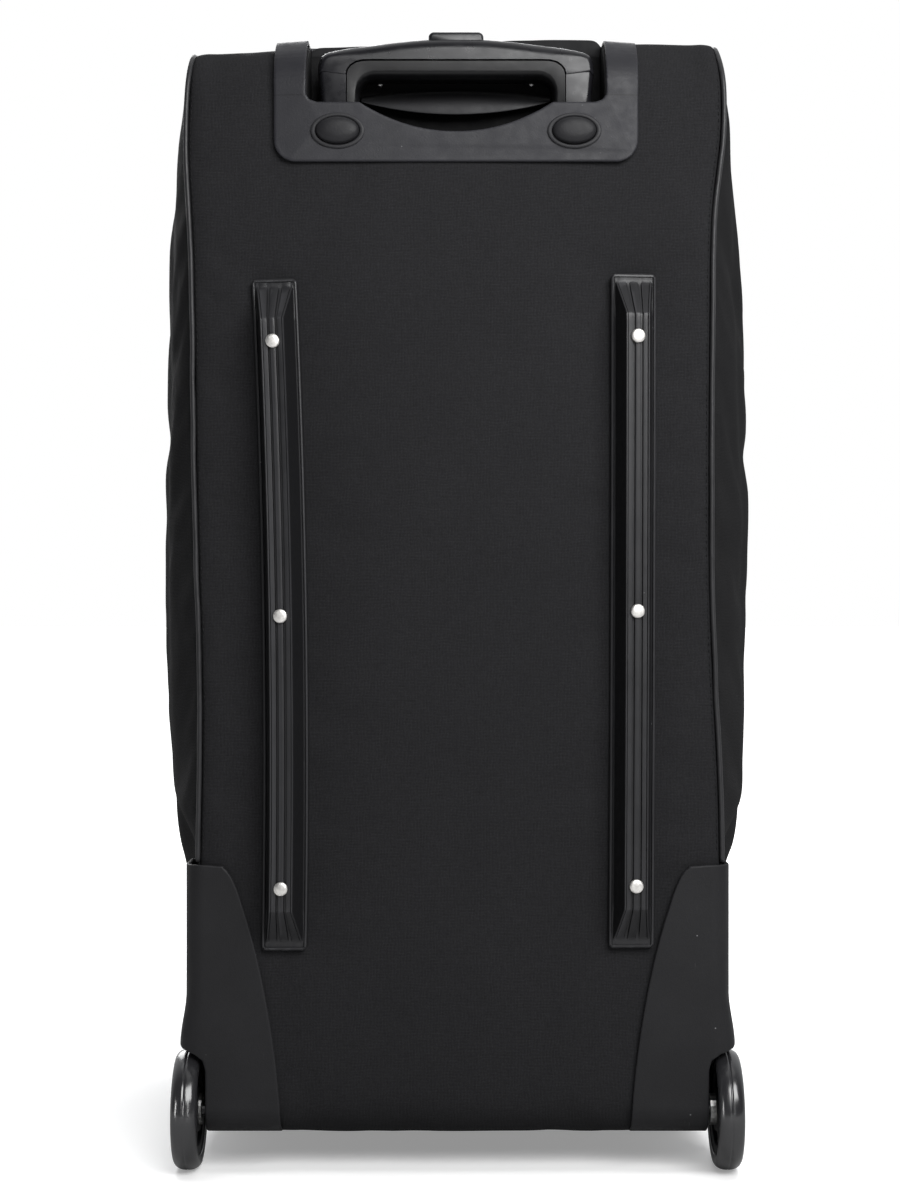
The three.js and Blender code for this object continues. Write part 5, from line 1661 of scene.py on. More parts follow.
# radius, x
WELL_OUTER = [(0, -240), (51.5, -240), (51.5, -184.5), (49.7, -178.5), (46.5, -175),
              (40.5, -173.5), (0, -173.5)]
WELL_INNER = [(0, -260), (48.2, -260), (48.2, -187.5), (46.6, -181.5), (43.2, -178),
              (37.4, -176.6), (0, -176.6)]
BOLT_BORE = [(0, -180), (4.4, -180), (4.4, -170), (0, -170)]


def housing_block(grow):
    """The left housing's outer form, rounded along three axes."""
    out = -HOUSING_X - grow
    plan = round_rect(out, -60, -7 - grow, 150, [13 + grow, 0, 0, 0.1], 10)
    side = round_rect(-7 - grow, 150, 22 - grow, 260, [24 + grow, 0, 0, 0], 12)
    back = round_rect(out, -60, 22 - grow, 260, [12 + grow, 0, 0, 0], 10)
    ob = raw_solid("block", *prism(plan, "z", 0, 260))
    cut_prism(ob, side, "x", -260, 0, "INTERSECT")
    cut_prism(ob, back, "y", -60, 160, "INTERSECT")
    return ob


def housing_trim():
    """The space that the housing's curved edges leave to it."""
    heights = np.concatenate([np.linspace(10, 206, 40), np.linspace(207, HOUSING_TOP, 12)])

    def outline(edge, far):
        line = [(float(place), float(z)) for place, z in zip(edge(heights), heights)]
        return [(far, 10)] + line + [(far, 218)]

    ob = raw_solid("trim", *prism(outline(HOUSING_EDGE, -230), "y", -80, 170))
    cut_prism(ob, outline(HOUSING_WING, -30), "x", -260, 0, "INTERSECT")
    return ob


def turned_solid(profile):
    return raw_solid("turned", *lathe(profile, 96, 0.0, AXLE, closed=False)[:2])


def housing(sign, side):
    """Built as the left one, then mirrored for the right."""
    shell = housing_block(0)
    boolean(shell, housing_block(-3.0))
    boolean(shell, housing_trim(), "INTERSECT")
    wall = turned_solid(WELL_OUTER)
    boolean(wall, housing_block(0), "INTERSECT")
    boolean(wall, housing_trim(), "INTERSECT")
    boolean(shell, wall, "UNION")
    boolean(shell, turned_solid(WELL_INNER))
    boolean(shell, turned_solid(BOLT_BORE))
    moulded(shell, voxel=0.62, rounds=6, keep=0.3)
    shell.name = "housing_" + side
    # the side flares out over the wheel, and the underside is drawn up clear of the floor
    flare = 2.6 if sign > 0 else 0.2
    shoulder = 1.2 if sign > 0 else -0.24
    for vertex in shell.data.vertices:
        x, z = -vertex.co.x * 1000, vertex.co.z * 1000
        outer = float(smooth((x - 176) / 13))
        spread = flare + 4.3 * float(smooth((128 - z) / 38))
        x += outer * spread * (0.35 + 0.65 * float(smooth((x - 150) / 40)))
        x += (1 - outer) * float(smooth((x - 160) / 12)) * shoulder
        if z < 60:
            z = 26.4 + (z - 22) * (60 - 26.4) / 38.0
        vertex.co.x, vertex.co.z = -x / 1000, z / 1000
    if sign > 0:
        for vertex in shell.data.vertices:
            vertex.co.x = -vertex.co.x
        shell.data.flip_normals()
    finish_piece(shell, HOUSE, "moulding", replaces="wheel_housing_" + side)


# radius, x from the wheel's middle
TREAD = [(31.2, -7.4), (32.2, -8.2), (34.0, -8.8), (36.2, -9.1), (38.0, -8.9), (39.4, -8.0),
         (40.5, -6.7), (41.3, -5.0), (41.8, -3.2), (42.02, -1.4), (42.05, -0.7), (41.75, -0.35),
         (41.7, 0)]
HUB_RIM = [(26.0, -7.2), (31.3, -7.6), (31.9, -7.0), (31.9, 7.0), (31.3, 7.6), (26.0, 7.2),
           (25.2, 6.2), (25.2, -6.2)]
HUB_BOSS = [(11.1, -7.6), (15.0, -7.4), (16.2, -5.6), (16.2, 5.6), (15.0, 7.4), (11.1, 7.6)]
HUB_WEB = [(14.5, -1.2), (26.5, -1.2), (26.5, 1.2), (14.5, 1.2)]
SPOKE = ((14.8, 3.4), (20.0, 2.3), (27.0, 3.2))  # radius, half-width
SPOKE_FACES = [(0, 2, 3, 1), (2, 4, 5, 3), (6, 7, 9, 8), (8, 9, 11, 10), (0, 1, 7, 6),
               (4, 10, 11, 5), (0, 6, 8, 2), (2, 8, 10, 4), (1, 3, 9, 7), (3, 5, 11, 9)]
# radius, distance out from the wheel's middle
BOLT_HEAD = [(0.0, 8.3), (2.6, 8.3), (2.6, 9.9), (4.2, 9.8), (6.2, 9.4), (7.3, 8.6), (7.6, 7.7),
             (9.6, 7.6), (9.8, 7.0), (3.9, 7.0)]
BOLT_SHANK = [(0, 8.2), (3.95, 8.2), (3.95, -19.5), (3.4, -20.2), (0, -20.2)]


def spoke(middle_x, angle):
    verts = []
    for shift in (-6.0, 6.0):
        for radius, half in SPOKE:
            for edge in (-half, half):
                y = AXLE[0] + radius * cos(angle) - edge * sin(angle)
                z = AXLE[1] + radius * sin(angle) + edge * cos(angle)
                verts.append((middle_x + shift, y, z))
    return blank(verts, SPOKE_FACES)


def wheel(sign, side):
    middle_x = -189.6 if sign < 0 else 191.8
    body = "wheel_" + side
    tread = TREAD + [(radius, -along) for radius, along in TREAD[-2::-1]]
    piece("tyre_ring_" + side, *lathe(tread, 128, middle_x, AXLE), body=body, material=TYRE,
          slot="tyre", replaces="tyre_" + side, sharp=55)
    parts = [
        lathe(profile, count, middle_x, AXLE)
        for profile, count in ((HUB_RIM, 96), (HUB_BOSS, 72), (HUB_WEB, 72))
    ]
    parts += [spoke(middle_x, 2 * pi * k / 6 + 0.26) for k in range(6)]
    piece("hub_" + side, *join_shapes(parts), body=body, material=HUB, slot="hub",
          replaces="wheel_hub_" + side, sharp=40, mods=[bevel(0.0006, 3, angle=40)])
    # bolt: domed head with a round recess, shank and nut
    parts = []
    for profile, count in ((BOLT_HEAD, 48), (BOLT_SHANK, 32)):
        profile = [(radius, sign * out) for radius, out in profile]
        parts.append(lathe(profile, count, middle_x, AXLE, closed=False))
    nut = [
        (AXLE[0] + 6.9 * cos(angle), AXLE[1] + 6.9 * sin(angle))
        for angle in np.linspace(0, 2 * pi, 7)[:-1]
    ]
    parts.append(blank(*prism(nut, "x", middle_x - sign * 22.2, middle_x - sign * 16.9)))
    piece("bolt_" + side, *join_shapes(parts), material=ZIP_METAL, slot="steel",
          replaces="axle_bolt_" + side, sharp=35)


# height, inset
FOOT_LEVELS = [(0.0, 4.2), (0.9, 2.2), (2.4, 0.8), (4.5, 0.0), (12.0, 0.0), (20.0, 0.8),
               (24.0, 1.6)]


def feet():
    for sign, name in SIDES:
        x, y = sign * 138.0, 282
        base = round_rect(x - 26, x + 26, y - 19, y + 19, 11, 8)
        verts = [(*p, z) for z, inset in FOOT_LEVELS for p in offset_outline(base, inset)]
        faces = capped_faces(len(FOOT_LEVELS), len(base), first_forward=True)
        uv = [(x / 1000, y / 1000) for x, y, _ in verts]
        piece("foot_pad_" + name, verts, faces, uv, material=MOULD, slot="moulding",
              replaces="foot_" + name, sharp=35)


# ------------------------------------------------------------------ zips
# a tooth's sections: across the zip, half-width, low and high edge
TOOTH = ((-1.9, 0.55, 0.1, 0.7), (-1.4, 0.85, -0.1, 1.25), (0.0, 0.8, -0.1, 1.35),
         (1.4, 0.85, -0.1, 1.25), (1.9, 0.55, 0.1, 0.7))
POCKET_ZIP_LIFT = 1.3


def zip_tape(name, line, inner, outer, lift, body, closed=True):
    """A flat tape along an (x, z) line on the front, from inner to outer mm out of it."""
    points = resample(line, 7.0, closed)
    across = np.linspace(inner, outer, 5)
    section = [(a, 0.0) for a in across] + [(a, -0.9) for a in across[::-1]]
    verts, uv = [], []
    for point, normal, run in zip(points, line_normals(points, closed), lengths_along(points)):
        for a, height in section:
            x, z = point + normal * a
            verts.append((x, float(front_y(x, z)) + lift + height, z))
            uv.append((a / 1000, run / 1000))
    rings, count = len(points), len(section)
    faces = grid_faces(rings, count, wrap_u=closed, wrap_v=True)
    if not closed:
        faces += end_caps(rings, count)
    piece(name, verts, faces, uv, body=body, material=TAPE, slot="zip", sharp=50)


def zip_teeth(name, line, shift, lift, body, closed=True, phase=0.0):
    """One rounded tooth per pitch, shift mm out of the line."""
    pitch = 2.6
    points = resample(line, pitch, closed)
    parts = []
    for point, normal in zip(points, line_normals(points, closed)):
        tangent = np.array([-normal[1], normal[0]])
        middle = point + tangent * phase * pitch
        verts = []
        for across, half, low, high in TOOTH:
            for along, height in ((-half, low), (half, low), (half * 0.7, high),
                                  (-half * 0.7, high)):
                x, z = middle + normal * (shift + across) + tangent * along
                verts.append((x, float(front_y(x, z)) + lift + height, z))
        parts.append(blank(verts, capped_faces(5, 4)))
    piece(name, *join_shapes(parts), body=body, material=ZIP_METAL, slot="zip", sharp=35)


def zip_seam(name, points, body):
    stitch_line(name, points, (0, 1, 0), body, length=4.0, gap=2.2, radius=0.3)


def lid_zip():
    outline = anticlockwise(lid_outline(0.0))
    zip_tape("lid_zip_tape_outer", outline, 1.2, 14.0, 0.9, "bag")
    zip_tape("lid_zip_tape_inner", outline, -14.0, -1.2, 0.9, "lid")
    zip_teeth("lid_zip_teeth_outer", outline, 1.15, 1.2, "bag")
    zip_teeth("lid_zip_teeth_inner", outline, -1.15, 1.2, "lid", phase=0.5)
    for shift, body, name in ((13.0, "bag", "outer"), (-13.0, "lid", "inner")):
        points = resample(outline, 6.0)
        line = points + line_normals(points, closed=True) * shift
        line = np.vstack([line, line[:1]])
        line = [(x, float(front_y(x, z)) + 1.9, z) for x, z in line]
        zip_seam("lid_zip_seam_" + name, line, body)


def pocket_zip():
    """The pocket's zip runs across above it, under a flap."""
    line = [(-106.0, POCKET_ZIP_Z), (106.0, POCKET_ZIP_Z)]
    zip_tape("pocket_zip_tape", line, -13.0, 13.0, POCKET_ZIP_LIFT + 1.2, "lid", closed=False)
    zip_teeth("pocket_zip_teeth", line, 0.0, POCKET_ZIP_LIFT + 1.3, "lid", closed=False)
    for shift, name in ((11.5, "upper"), (-11.5, "lower")):
        z = POCKET_ZIP_Z + shift
        xs = np.linspace(-105, 105, 22)
        points = [(x, float(front_y(x, z)) + POCKET_ZIP_LIFT + 2.3, z) for x in xs]
        zip_seam("pocket_zip_seam_" + name, points, "lid")
    points = np.zeros((30, 9, 3))
    for i, x in enumerate(np.linspace(-113, 113, 30)):
        for j, down in enumerate(np.linspace(0, 1, 9)):
            z = 622 - 24 * down
            arch = 3.2 * sin(pi * min(1, down * 1.05)) ** 0.7 * smooth((113 - abs(x)) / 10)
            y = float(front_y(x, z)) + POCKET_ZIP_LIFT + 1.6 + arch
            points[i, j] = (x, y + 0.5 * float(noise2(x / 22, down * 2, 91)), z)
    ob = sheet_object("pocket_flap", points)
    finish_piece(ob, CLOTH, "body_cloth", "lid", mods=THICK)


# along, across
SLIDER = [(-7.5, -3.0), (-6.8, -4.0), (-3, -4.6), (2, -5.6), (6.0, -5.9), (7.5, -4.9),
          (8.0, -2.5), (8.0, 2.5), (7.5, 4.9), (6.0, 5.9), (2, 5.6), (-3, 4.6), (-6.8, 4.0),
          (-7.5, 3.0)]
SLIDER_LEVELS = ((0.4, 0.7), (0.9, 0.15), (2.6, 0.0), (3.8, 0.3), (4.3, 1.1))  # height, inset
# across, along
PULL = [(-1.6, 0), (-2.4, 2), (-2.7, 8), (-3.4, 12), (-3.9, 24), (-3.4, 29), (-1.8, 30.8),
        (1.8, 30.8), (3.4, 29), (3.9, 24), (3.4, 12), (2.7, 8), (2.4, 2), (1.6, 0)]
PULL_LEVELS = ((5.2, 0.5), (5.7, 0.0), (6.9, 0.0), (7.4, 0.5))  # height, inset
# name, x, z, direction of the zip in (x, z), frame body, CAD piece, lift over the front
SLIDERS = (
    ("slider_lid_upper", -150, 437, (0, 1), "zip_slider_upper", "lid_zip_slider_upper", 0.6),
    ("slider_lid_lower", -150, 396, (0, -1), "zip_slider_lower", "lid_zip_slider_lower", 0.6),
    ("slider_pocket", -84, POCKET_ZIP_Z, (1, 0), "zip_slider_pocket", "pocket_zip_slider", 2.0),
)


def slider(name, x, z, direction, body, replaces, lift):
    """Zip slider: a waisted body astride the teeth, a bridge and a pull."""
    run = np.asarray(direction, float)
    side = np.array([run[1], -run[0]])
    base = float(front_y(x, z)) + lift

    def place(along, across, height):
        place_x, place_z = np.array([x, z]) + run * along + side * across
        return (place_x, base + height, place_z)

    outline = anticlockwise(SLIDER)
    verts = [
        place(along, across, height)
        for height, inset in SLIDER_LEVELS
        for along, across in offset_outline(outline, inset)
    ]
    faces = capped_faces(len(SLIDER_LEVELS), len(SLIDER), first_forward=True)
    parts = [blank(verts, faces)]
    bridge = [
        place(along, 0.0, 4.0 + 2.6 * sin(pi * part))
        for part, along in zip(np.linspace(0, 1, 9), np.linspace(-4.5, 4.5, 9))
    ]
    parts.append(tube(frames_along(bridge, (0, 1, 0)), circle(1.0, 8, 0.8)))
    outline = anticlockwise(PULL)
    verts = [
        place(along * 0.92 + 0.5, across, height - 2.2 * smooth((along - 6) / 16))
        for height, inset in PULL_LEVELS
        for across, along in offset_outline(outline, inset)
    ]
    faces = capped_faces(len(PULL_LEVELS), len(PULL), first_forward=True)
    parts.append(blank(verts, faces))
    piece(name, *join_shapes(parts), body=body, material=ZIP_METAL, slot="zip",
          replaces=replaces, sharp=35, mods=[bevel(0.0003, 2, angle=45)])


# ------------------------------------------------------------------ straps and carry handles
STRAP_WIDTH = 25.0


def strap(name, points, up, body="bag", thick=2.0):
    """A flat strap with its middle on points; up is the normal of its face."""
    half, edge = STRAP_WIDTH / 2, STRAP_WIDTH / 2 - 0.5
    section = [(-half, 0.0), (-edge, thick / 2), (edge, thick / 2), (half, 0.0),
               (edge, -thick / 2), (-edge, -thick / 2)]
    verts, faces, _ = tube(frames_along(points, up), section)
    uv = [(a / 1000, along / 1000) for along in lengths_along(points) for a, _ in section]
    return piece(name, verts, faces, uv, body=body, material=WEB, slot="webbing", sharp=50)


def patch(name, middle, half, place, outward):
    """A square of cloth sewn over a strap's end. place(a, y, lift) gives the point lift mm above
    the cloth, where a runs along the handle."""
    count = 14
    points = np.zeros((count, count, 3))
    for i, a in enumerate(np.linspace(-half, half, count)):
        for j, b in enumerate(np.linspace(-half, half, count)):
            edge = half - max(abs(a), abs(b))
            lift = 0.5 + 1.3 * float(smooth((edge + 0.5) / 4))
            lift += 0.15 * float(noise2(a / 5, b / 5, 111))
            points[i, j] = place(middle + a, HANDLE_Y + b, lift)
    ob = sheet_object(name, points)
    finish_piece(ob, HANDLE_CLOTH, "webbing", mods=[solidify(0.0018, -1.0), SUBSURF])
    seam = half - 3.0
    loop = resample([(-seam, -seam), (seam, -seam), (seam, seam), (-seam, seam)], 3.0)
    loop = np.vstack([loop, loop[:1]])
    points = [place(middle + a, HANDLE_Y + b, 2.0) for a, b in loop]
    stitch_line(name + "_seam", points, outward, "bag", length=3.0, gap=1.6, radius=0.3)


# Padded grips. centre and half_length lie along the handle. pinch thins the ends, which round
# off from round_from of the half length to end_width and end_height (squared parts of the
# size). base and bow place the middle outwards; ripple, ribs and swell shape the wrinkles.
TOP_PAD = dict(
    stations=44, around=26, centre=0, half_length=64, half_width=14.2, half_height=4.6,
    pinch=0.16, round_from=0.955, end_width=0.4, end_height=0.3, base=811.6 - 0.8, bow=1.2,
    ripple=0.35, ribs=0.25, swell=0.6,
)
SIDE_PAD = dict(
    stations=40, around=24, centre=SIDE_HANDLE_Z, half_length=61, half_width=14.0,
    half_height=4.2, pinch=0.15, round_from=0.95, end_width=0.3, end_height=0.3, base=225.0,
    bow=0.9, ripple=0.3, ribs=0.0, swell=0.5,
)


def handle_pad(name, body, replaces, place, seed, *, stations, around, centre, half_length,
               half_width, half_height, pinch, round_from, end_width, end_height, base, bow,
               ripple, ribs, swell):
    """Cloth wrapped round foam; place(along, y, out) gives the vertex."""
    verts, uv = [], []
    for i in range(stations):
        part = i / (stations - 1)
        along = centre - half_length + 2 * half_length * part
        end = abs(2 * part - 1)
        rounding = max(0.0, 1 - max(0, (end - round_from) / (1 - round_from)) ** 2)
        wide = half_width * (1 - 0.10 * end**6) * sqrt(rounding * (1 - end_width) + end_width)
        high = half_height * (1 - pinch * end**4) * sqrt(rounding * (1 - end_height) + end_height)
        for k in range(around):
            angle = 2 * pi * k / around
            side, up = cos(angle), sin(angle)
            bump = ripple * float(noise2(along / 9.0, angle * 2.2, seed))
            bump += ribs * sin(along / 3.1) * abs(side) ** 6
            y = HANDLE_Y + wide * signed_power(side, 0.7) + bump * (abs(side) > 0.5)
            out = base + bow * (1 - end * end) + high * signed_power(up, 0.85) + bump * swell
            verts.append(place(along, y, out))
            uv.append((along / 1000, angle * 10 / 1000))
    piece(name, verts, capped_faces(stations, around), uv, body=body, material=HANDLE_CLOTH,
          slot="webbing", replaces=replaces, mods=[SUBSURF])


def top_handle():
    handle_pad("top_handle_pad", "top_carry", "top_handle", lambda x, y, z: (x, y, z), 101,
               **TOP_PAD)
    seam = [
        (x, HANDLE_Y, 811.6 + 1.2 * (1 - (x / 64) ** 2) + 3.7) for x in np.linspace(-55, 55, 12)
    ]
    stitch_line("top_handle_seam", seam, (0, 0, 1), "top_carry", length=3.6, gap=1.8, radius=0.3)
    for sign, name in SIDES:
        # distance from the middle, z
        way = [(58, 811.6), (70, 811.0), (82, 807.5)]
        way += [(x, top_z(sign * x if x == 0 else x) + lift)
                for x, lift in ((92, 2.0), (104, 1.5), (118, 1.4))]
        points = spline([(sign * x, HANDLE_Y, z) for x, z in way], 30)
        ob = strap("top_handle_strap_" + name, points, (0, 0, 1), body=None)
        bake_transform(ob)
        patch("top_handle_patch_" + name, sign * 106, 17,
              lambda x, y, lift: (x, y, top_z(x) + 2.2 + lift), (0, 0, 1))


def side_handle(sign, name):
    body = "side_carry_" + name
    handle_pad(f"side_handle_pad_{name}", body, "side_handle_" + name,
               lambda z, y, x: (sign * x, y, z), 121 + sign, **SIDE_PAD)

    def cloth_x(y, z):
        return float(side_x(sign, y, z)) + 0.4

    for direction, end_name in ((1, "upper"), (-1, "lower")):
        # distance along the handle from its middle, distance of the strap from the bag's middle
        way = [(56, 225.0), (66, 224.6), (78, 221.5)]
        for along, lift in ((90, 2.2), (104, 1.6), (118, 1.5)):
            way.append((along, cloth_x(HANDLE_Y, SIDE_HANDLE_Z + direction * along) + lift))
        points = [(sign * x, HANDLE_Y, SIDE_HANDLE_Z + direction * along) for along, x in way]
        ob = strap(f"side_handle_strap_{name}_{end_name}", spline(points, 28), (sign, 0, 0),
                   body=None)
        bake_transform(ob)
        patch(f"side_handle_patch_{name}_{end_name}", SIDE_HANDLE_Z + direction * 107, 16,
              lambda z, y, lift: (sign * (cloth_x(y, z) + lift), y, z), (sign, 0, 0))


# ------------------------------------------------------------------ lining
def lining_back_y(x, z):
    """Depth of the lining's back wall, which clears the recess, wheels and housings."""
    cup_room = 14.0 * smooth((z - 685) / 22)
    wheel_room = 36.0 * smooth((abs(x) - 142) / 22) * (1 - smooth((z - 104) / 22))
    housing_room = 8.0 * smooth((abs(x) - 150) / 22) * (1 - smooth((z - 205) / 20))
    return 37.0 + max(cup_room, wheel_room, housing_room)


def lining_tub():
    """From the middle of the back wall, over its rounded rim, and forward to the front."""
    low, high, half = 38.0, 788.0, 174.0
    rim_depth, front = 14.0, 322
    around = resample(anticlockwise(round_rect(-half, half, low, high, 30, 8)), 11.0)
    middle = np.array([0.0, 0.5 * (low + high)])
    rings = [("back", part) for part in np.linspace(0.02, 1, 16)]
    rings += [("wall", part) for part in np.linspace(0.06, 1, 18)]
    verts, uv = [], []
    for kind, part in rings:
        for j, point in enumerate(around):
            if kind == "back":
                x, z = middle + (point - middle) * part
                rim = rim_depth * smooth((part - 0.90) / 0.10) ** 2
                y = lining_back_y(x, z) + rim + 1.2 * float(noise2(x / 60, z / 60, 131))
            else:
                start = lining_back_y(*point) + rim_depth
                y = start + (front - start) * part
                lift = sin(pi * part)
                wave = 2.2 * lift * float(noise2(y / 55, j / 5.0, 132)) + 2.0 * lift
                on_side = abs(point[0]) > half - 2
                on_end = abs(point[1] - middle[1]) > 370
                move = np.array([wave if on_side else 0, wave if on_end else 0])
                x, z = point + np.sign(point - middle) * move
            verts.append((x, y, z))
            uv.append((x / 1000 + y / 1000, z / 1000 + y / 1700))
    count = len(around)
    faces = grid_faces(len(rings), count, wrap_v=True)
    verts.append((0.0, lining_back_y(0, 413), middle[1]))
    uv.append((0, 0))
    faces += [(j, len(verts) - 1, (j + 1) % count) for j in range(count)]
    ob = new_object("lining", verts, faces)
    add_uv(ob, uv)
    tidy(ob)
    face_away(ob, (0, 180, 410), flip=True)
    finish_piece(ob, LINING, "body_cloth", mods=[solidify(0.0008, -1.0)])


def lid_lining():
    half, low, high = 141, 97, 726
    x, z = np.meshgrid(np.linspace(-half, half, 20), np.linspace(low, high, 36))
    inward = smooth(box_edge(x, z, half, low, high) / 30)
    y = front_y(x, z) - 3.4 - 1.6 * inward + 0.7 * noise2(x / 40, z / 50, 141) * inward
    ob = sheet_object("lid_lining", np.stack([x, y, z], 2), centre=(0, 600, 400))
    cut_outline(ob, lid_outline(-10), keep_inside=True, min_y=250)
    finish_piece(ob, LINING, "body_cloth", "lid", mods=[solidify(0.0008, -1.0), SUBSURF])


def packing_straps():
    """Two straps across the back wall. Columns: x, y, rise above the strap's height."""
    way = [(-150, 60, 0), (-146, 47, 0), (-130, 43.5, 1), (-60, 42.5, 2), (0, 42.2, 0),
           (60, 42.5, -1), (130, 43.5, 0), (146, 47, 0), (150, 60, 0)]
    for height, name in ((250, "lower"), (540, "upper")):
        points = spline([(x, y, height + up) for x, y, up in way], 40)
        strap("packing_strap_" + name, points, (0, 1, 0), thick=1.4)


def lid_hinge():
    """The strip along the lid's right edge."""
    points = np.zeros((40, 9, 3))
    for i, z in enumerate(np.linspace(140, 684, 40)):
        for j, across in enumerate(np.linspace(-13, 13, 9)):
            x = 151 + across
            points[i, j] = (x, float(front_y(x, z)) - 3.6 - 0.4 * cos(across / 13 * pi), z)
    ob = sheet_object("lid_hinge_strip", points)
    add_mods(ob, [solidify(0.0009, -1.0)])
    apply_mods(ob)
    finish_piece(ob, BINDING, "body_cloth", body=None)
    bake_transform(ob)


def top_stitching():
    """Stitches beside the piping, up the back."""
    inset = 3.6
    roll = -2.2 * math.exp(-inset / 3.2) + 0.9 * math.exp(-((inset - 9) ** 2) / 18.0) + 0.1
    for sign, name in SIDES:
        points, outward = [], []
        for y, z, out_y, out_z in walk(2, 5, 6.0):
            if out_y == -1 and z < HOUSING_TOP + 4:
                continue
            if out_z > 0.35:  # it dives under the hem there
                break
            width = float(half_width(sign, y, z))
            across = (width - inset) / width
            height = float(crown(out_y, out_z, z)) * (1 - across * across) + roll
            lift = 0.0
            if out_z > 0:
                lift = out_z * float(top_span(y)) * (0.8 + 3.0 * sign * across)
            x = sign * (width - inset)
            points.append((x, y + out_y * height, z + out_z * height + lift))
            outward.append((0, out_y, out_z))
        stitch_line("top_stitch_" + name, points, outward, "bag", length=2.6, gap=2.2,
                    radius=0.24)


def kept_pieces():
    """Pieces that stay as the frame has them and only get a material."""
    kept = [("back_board", BOARD, "board"), ("base_board", BOARD, "board"),
            ("tube_base_bracket", DARK, "moulding")]
    for _, side in SIDES:
        kept += [
            ("outer_tube_" + side, ALLOY, "alloy"),
            ("middle_tube_" + side, ALLOY, "alloy"),
            ("inner_tube_" + side, ALLOY, "alloy"),
            ("middle_collar_" + side, DARK, "moulding"),
            ("push_rod_" + side, STEEL, "steel"),
            ("lock_pin_" + side, STEEL, "steel"),
            ("wheel_bearing_" + side, STEEL, "steel"),
        ]
    for name, material, slot in kept:
        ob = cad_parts[name]
        ob.data.materials.clear()
        ob.data.materials.append(material)


# ------------------------------------------------------------------ floor, lights and camera
def floor_material():
    """Paper that glows, white away from the bag and dimmer near it as painted shade round the bag,
    with little bounce onto the bag.
    """
    graph = material_graph("floor_paper")
    where = graph.coords()
    clouds = graph.noise(where, scale=6.0, detail=3.0)
    seen = graph.node("LightPath", {}, "Is Camera Ray")
    tone = clouds.spread(0.86, 0.88) * seen.remap(of=(0.0, 1.0), to=(0.45, 1.0))
    x, y, _ = graph.xyz(where)
    # painted shade: the floor's glow is turned down near the bag
    distance = graph.math("SQRT", x * x + y * y)
    glow = distance.remap(of=(0.34, 0.85), to=(0.28, 1.0), kind="SMOOTHSTEP")
    material = graph.finish(
        color=graph.vec(tone, tone, tone), rough=0.8, spec=0.05, glow=(1.0, 1.0, 1.0),
        glow_strength=glow * seen.remap(of=(0.0, 1.0), to=(0.12, 1.0)),
    )
    material.cycles.emission_sampling = "NONE"
    return material


def make_floor():
    data = bpy.data.meshes.new("floor")
    corners = [(-30, -30, 0), (30, -30, 0), (30, 30, 0), (-30, 30, 0)]
    data.from_pydata(corners, [], [(0, 1, 2, 3)])
    floor = bpy.data.objects.new("floor", data)
    scene.collection.objects.link(floor)
    data.materials.append(floor_material())
    floor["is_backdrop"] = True
    return floor


def make_world():
    """White to the camera; it lights the bag mostly from the lid's side."""
    world = bpy.data.worlds.new("studio")
    scene.world = world
    graph = Graph(world, "World")
    toward_lid = graph.xyz(graph.coords("Generated"))[1]
    strength = toward_lid.remap(of=(-0.35, 0.55), to=(0.04, 0.75), kind="SMOOTHSTEP")
    seen = graph.node("Background", {0: (1, 1, 1), 1: 1.0})
    rest = graph.node("Background", {0: (0.97, 0.98, 1.0), 1: strength})
    camera_ray = graph.node("LightPath", {}, "Is Camera Ray")
    mixed = graph.node("MixShader", {0: camera_ray, 1: rest, 2: seen})
    graph.put(graph.output.inputs[0], mixed)


def area_light(name, location, target, size, power):
    data = bpy.data.lights.new(name, "AREA")
    data.shape = "RECTANGLE"
    data.size, data.size_y = size
    data.energy = power
    light = bpy.data.objects.new(name, data)
    scene.collection.objects.link(light)
    light.location = location
    aim = Vector(target) - Vector(location)
    light.rotation_euler = aim.to_track_quat("-Z", "Y").to_euler()
    light.visible_camera = False
    return light


def link_lights(name, lights, objects):
    """Limits lights to a collection of receivers."""
    group = bpy.data.collections.new(name)
    for ob in objects:
        group.objects.link(ob)
    for light in lights:
        light.light_linking.receiver_collection = group
    return group


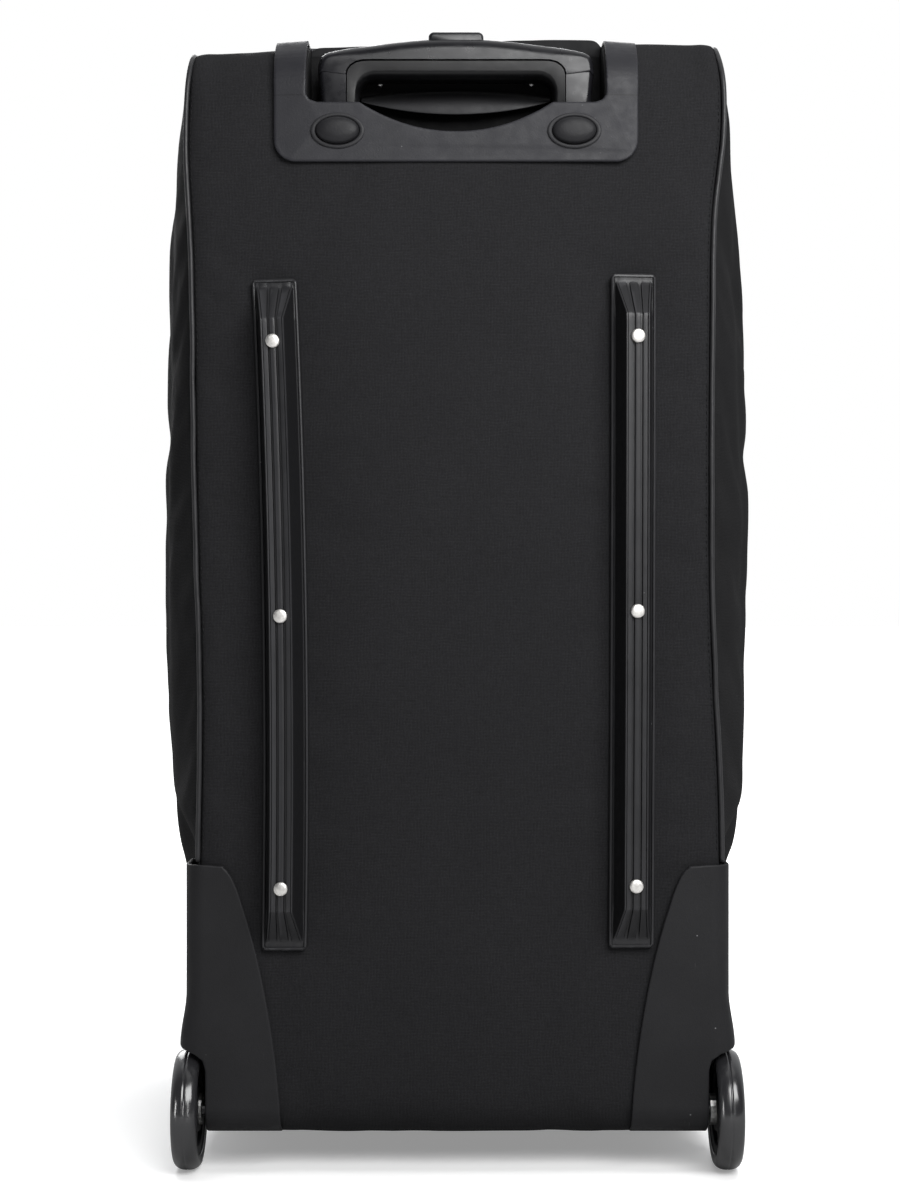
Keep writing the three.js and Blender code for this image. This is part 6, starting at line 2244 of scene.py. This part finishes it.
def make_lights(floor):
    area_light("softbox_front", location=(0.55, -1.35, 1.22), target=(0, -0.16, 0.5),
               size=(1.2, 0.9), power=29.5)
    back = area_light("softbox_back", location=(-0.5, 2.3, 1.5), target=(0, 0.1, 0.4),
                      size=(2.0, 1.8), power=55)
    area_light("softbox_top", location=(0.1, 0.1, 2.6), target=(0, 0, 0.3), size=(2.4, 1.5),
               power=6)
    over = area_light("softbox_floor", location=(0.0, 0.1, 2.6), target=(0, 0, 0.0),
                      size=(2.6, 2.0), power=64)
    strips = [
        area_light("strip_left", location=(-1.25, -1.15, 0.22), target=(-0.19, -0.16, 0.05),
                   size=(0.13, 0.7), power=5.0),
        area_light("strip_right", location=(0.36, -1.5, 0.30), target=(0.19, -0.16, 0.05),
                   size=(0.08, 0.8), power=2.6),
    ]
    not_floor = link_lights("not_floor", [back], [floor])
    not_floor.collection_objects[0].light_linking.link_state = "EXCLUDE"
    tyres = [bpy.data.objects["tyre_ring_" + side] for _, side in SIDES]
    link_lights("wheels_only", strips, tyres)
    link_lights("floor_only", [over], [floor])


def make_camera():
    """Looks straight at the wheeled back."""
    data = bpy.data.cameras.new("camera")
    data.lens = 63.83
    data.sensor_width = 36
    data.sensor_fit = "AUTO"
    camera = bpy.data.objects.new("camera", data)
    scene.collection.objects.link(camera)
    camera.location = (-0.0042, -1.6628, 0.4041)
    camera.rotation_euler = (pi / 2, 0, 0)
    scene.camera = camera
    scene.view_settings.view_transform = "Standard"
    scene.view_settings.look = "None"


def plain(box):
    """A box as numbers that json can write."""
    return [[float(x) for x in part] if hasattr(part, "__len__") else float(part) for part in box]


# ------------------------------------------------------------------ make it
back_cloth()
base_cloth()
for sign, side in SIDES:
    side_cloth(sign, side)
    piping(sign, side)
front_cloth()
lid_cloth()
pocket_cloth()
for sign, side in SIDES:
    skid_rail(side)
    housing(sign, side)
    wheel(sign, side)
surround()
cup()
grip()
feet()
lid_zip()
pocket_zip()
for settings in SLIDERS:
    slider(*settings)
top_handle()
for sign, side in SIDES:
    side_handle(sign, side)
lining_tub()
lid_lining()
packing_straps()
lid_hinge()
top_stitching()
kept_pieces()

floor = make_floor()
make_world()
make_lights(floor)
make_camera()

VISUAL_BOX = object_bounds()
{"cad": plain(CAD_BOX), "visual": plain(VISUAL_BOX)}
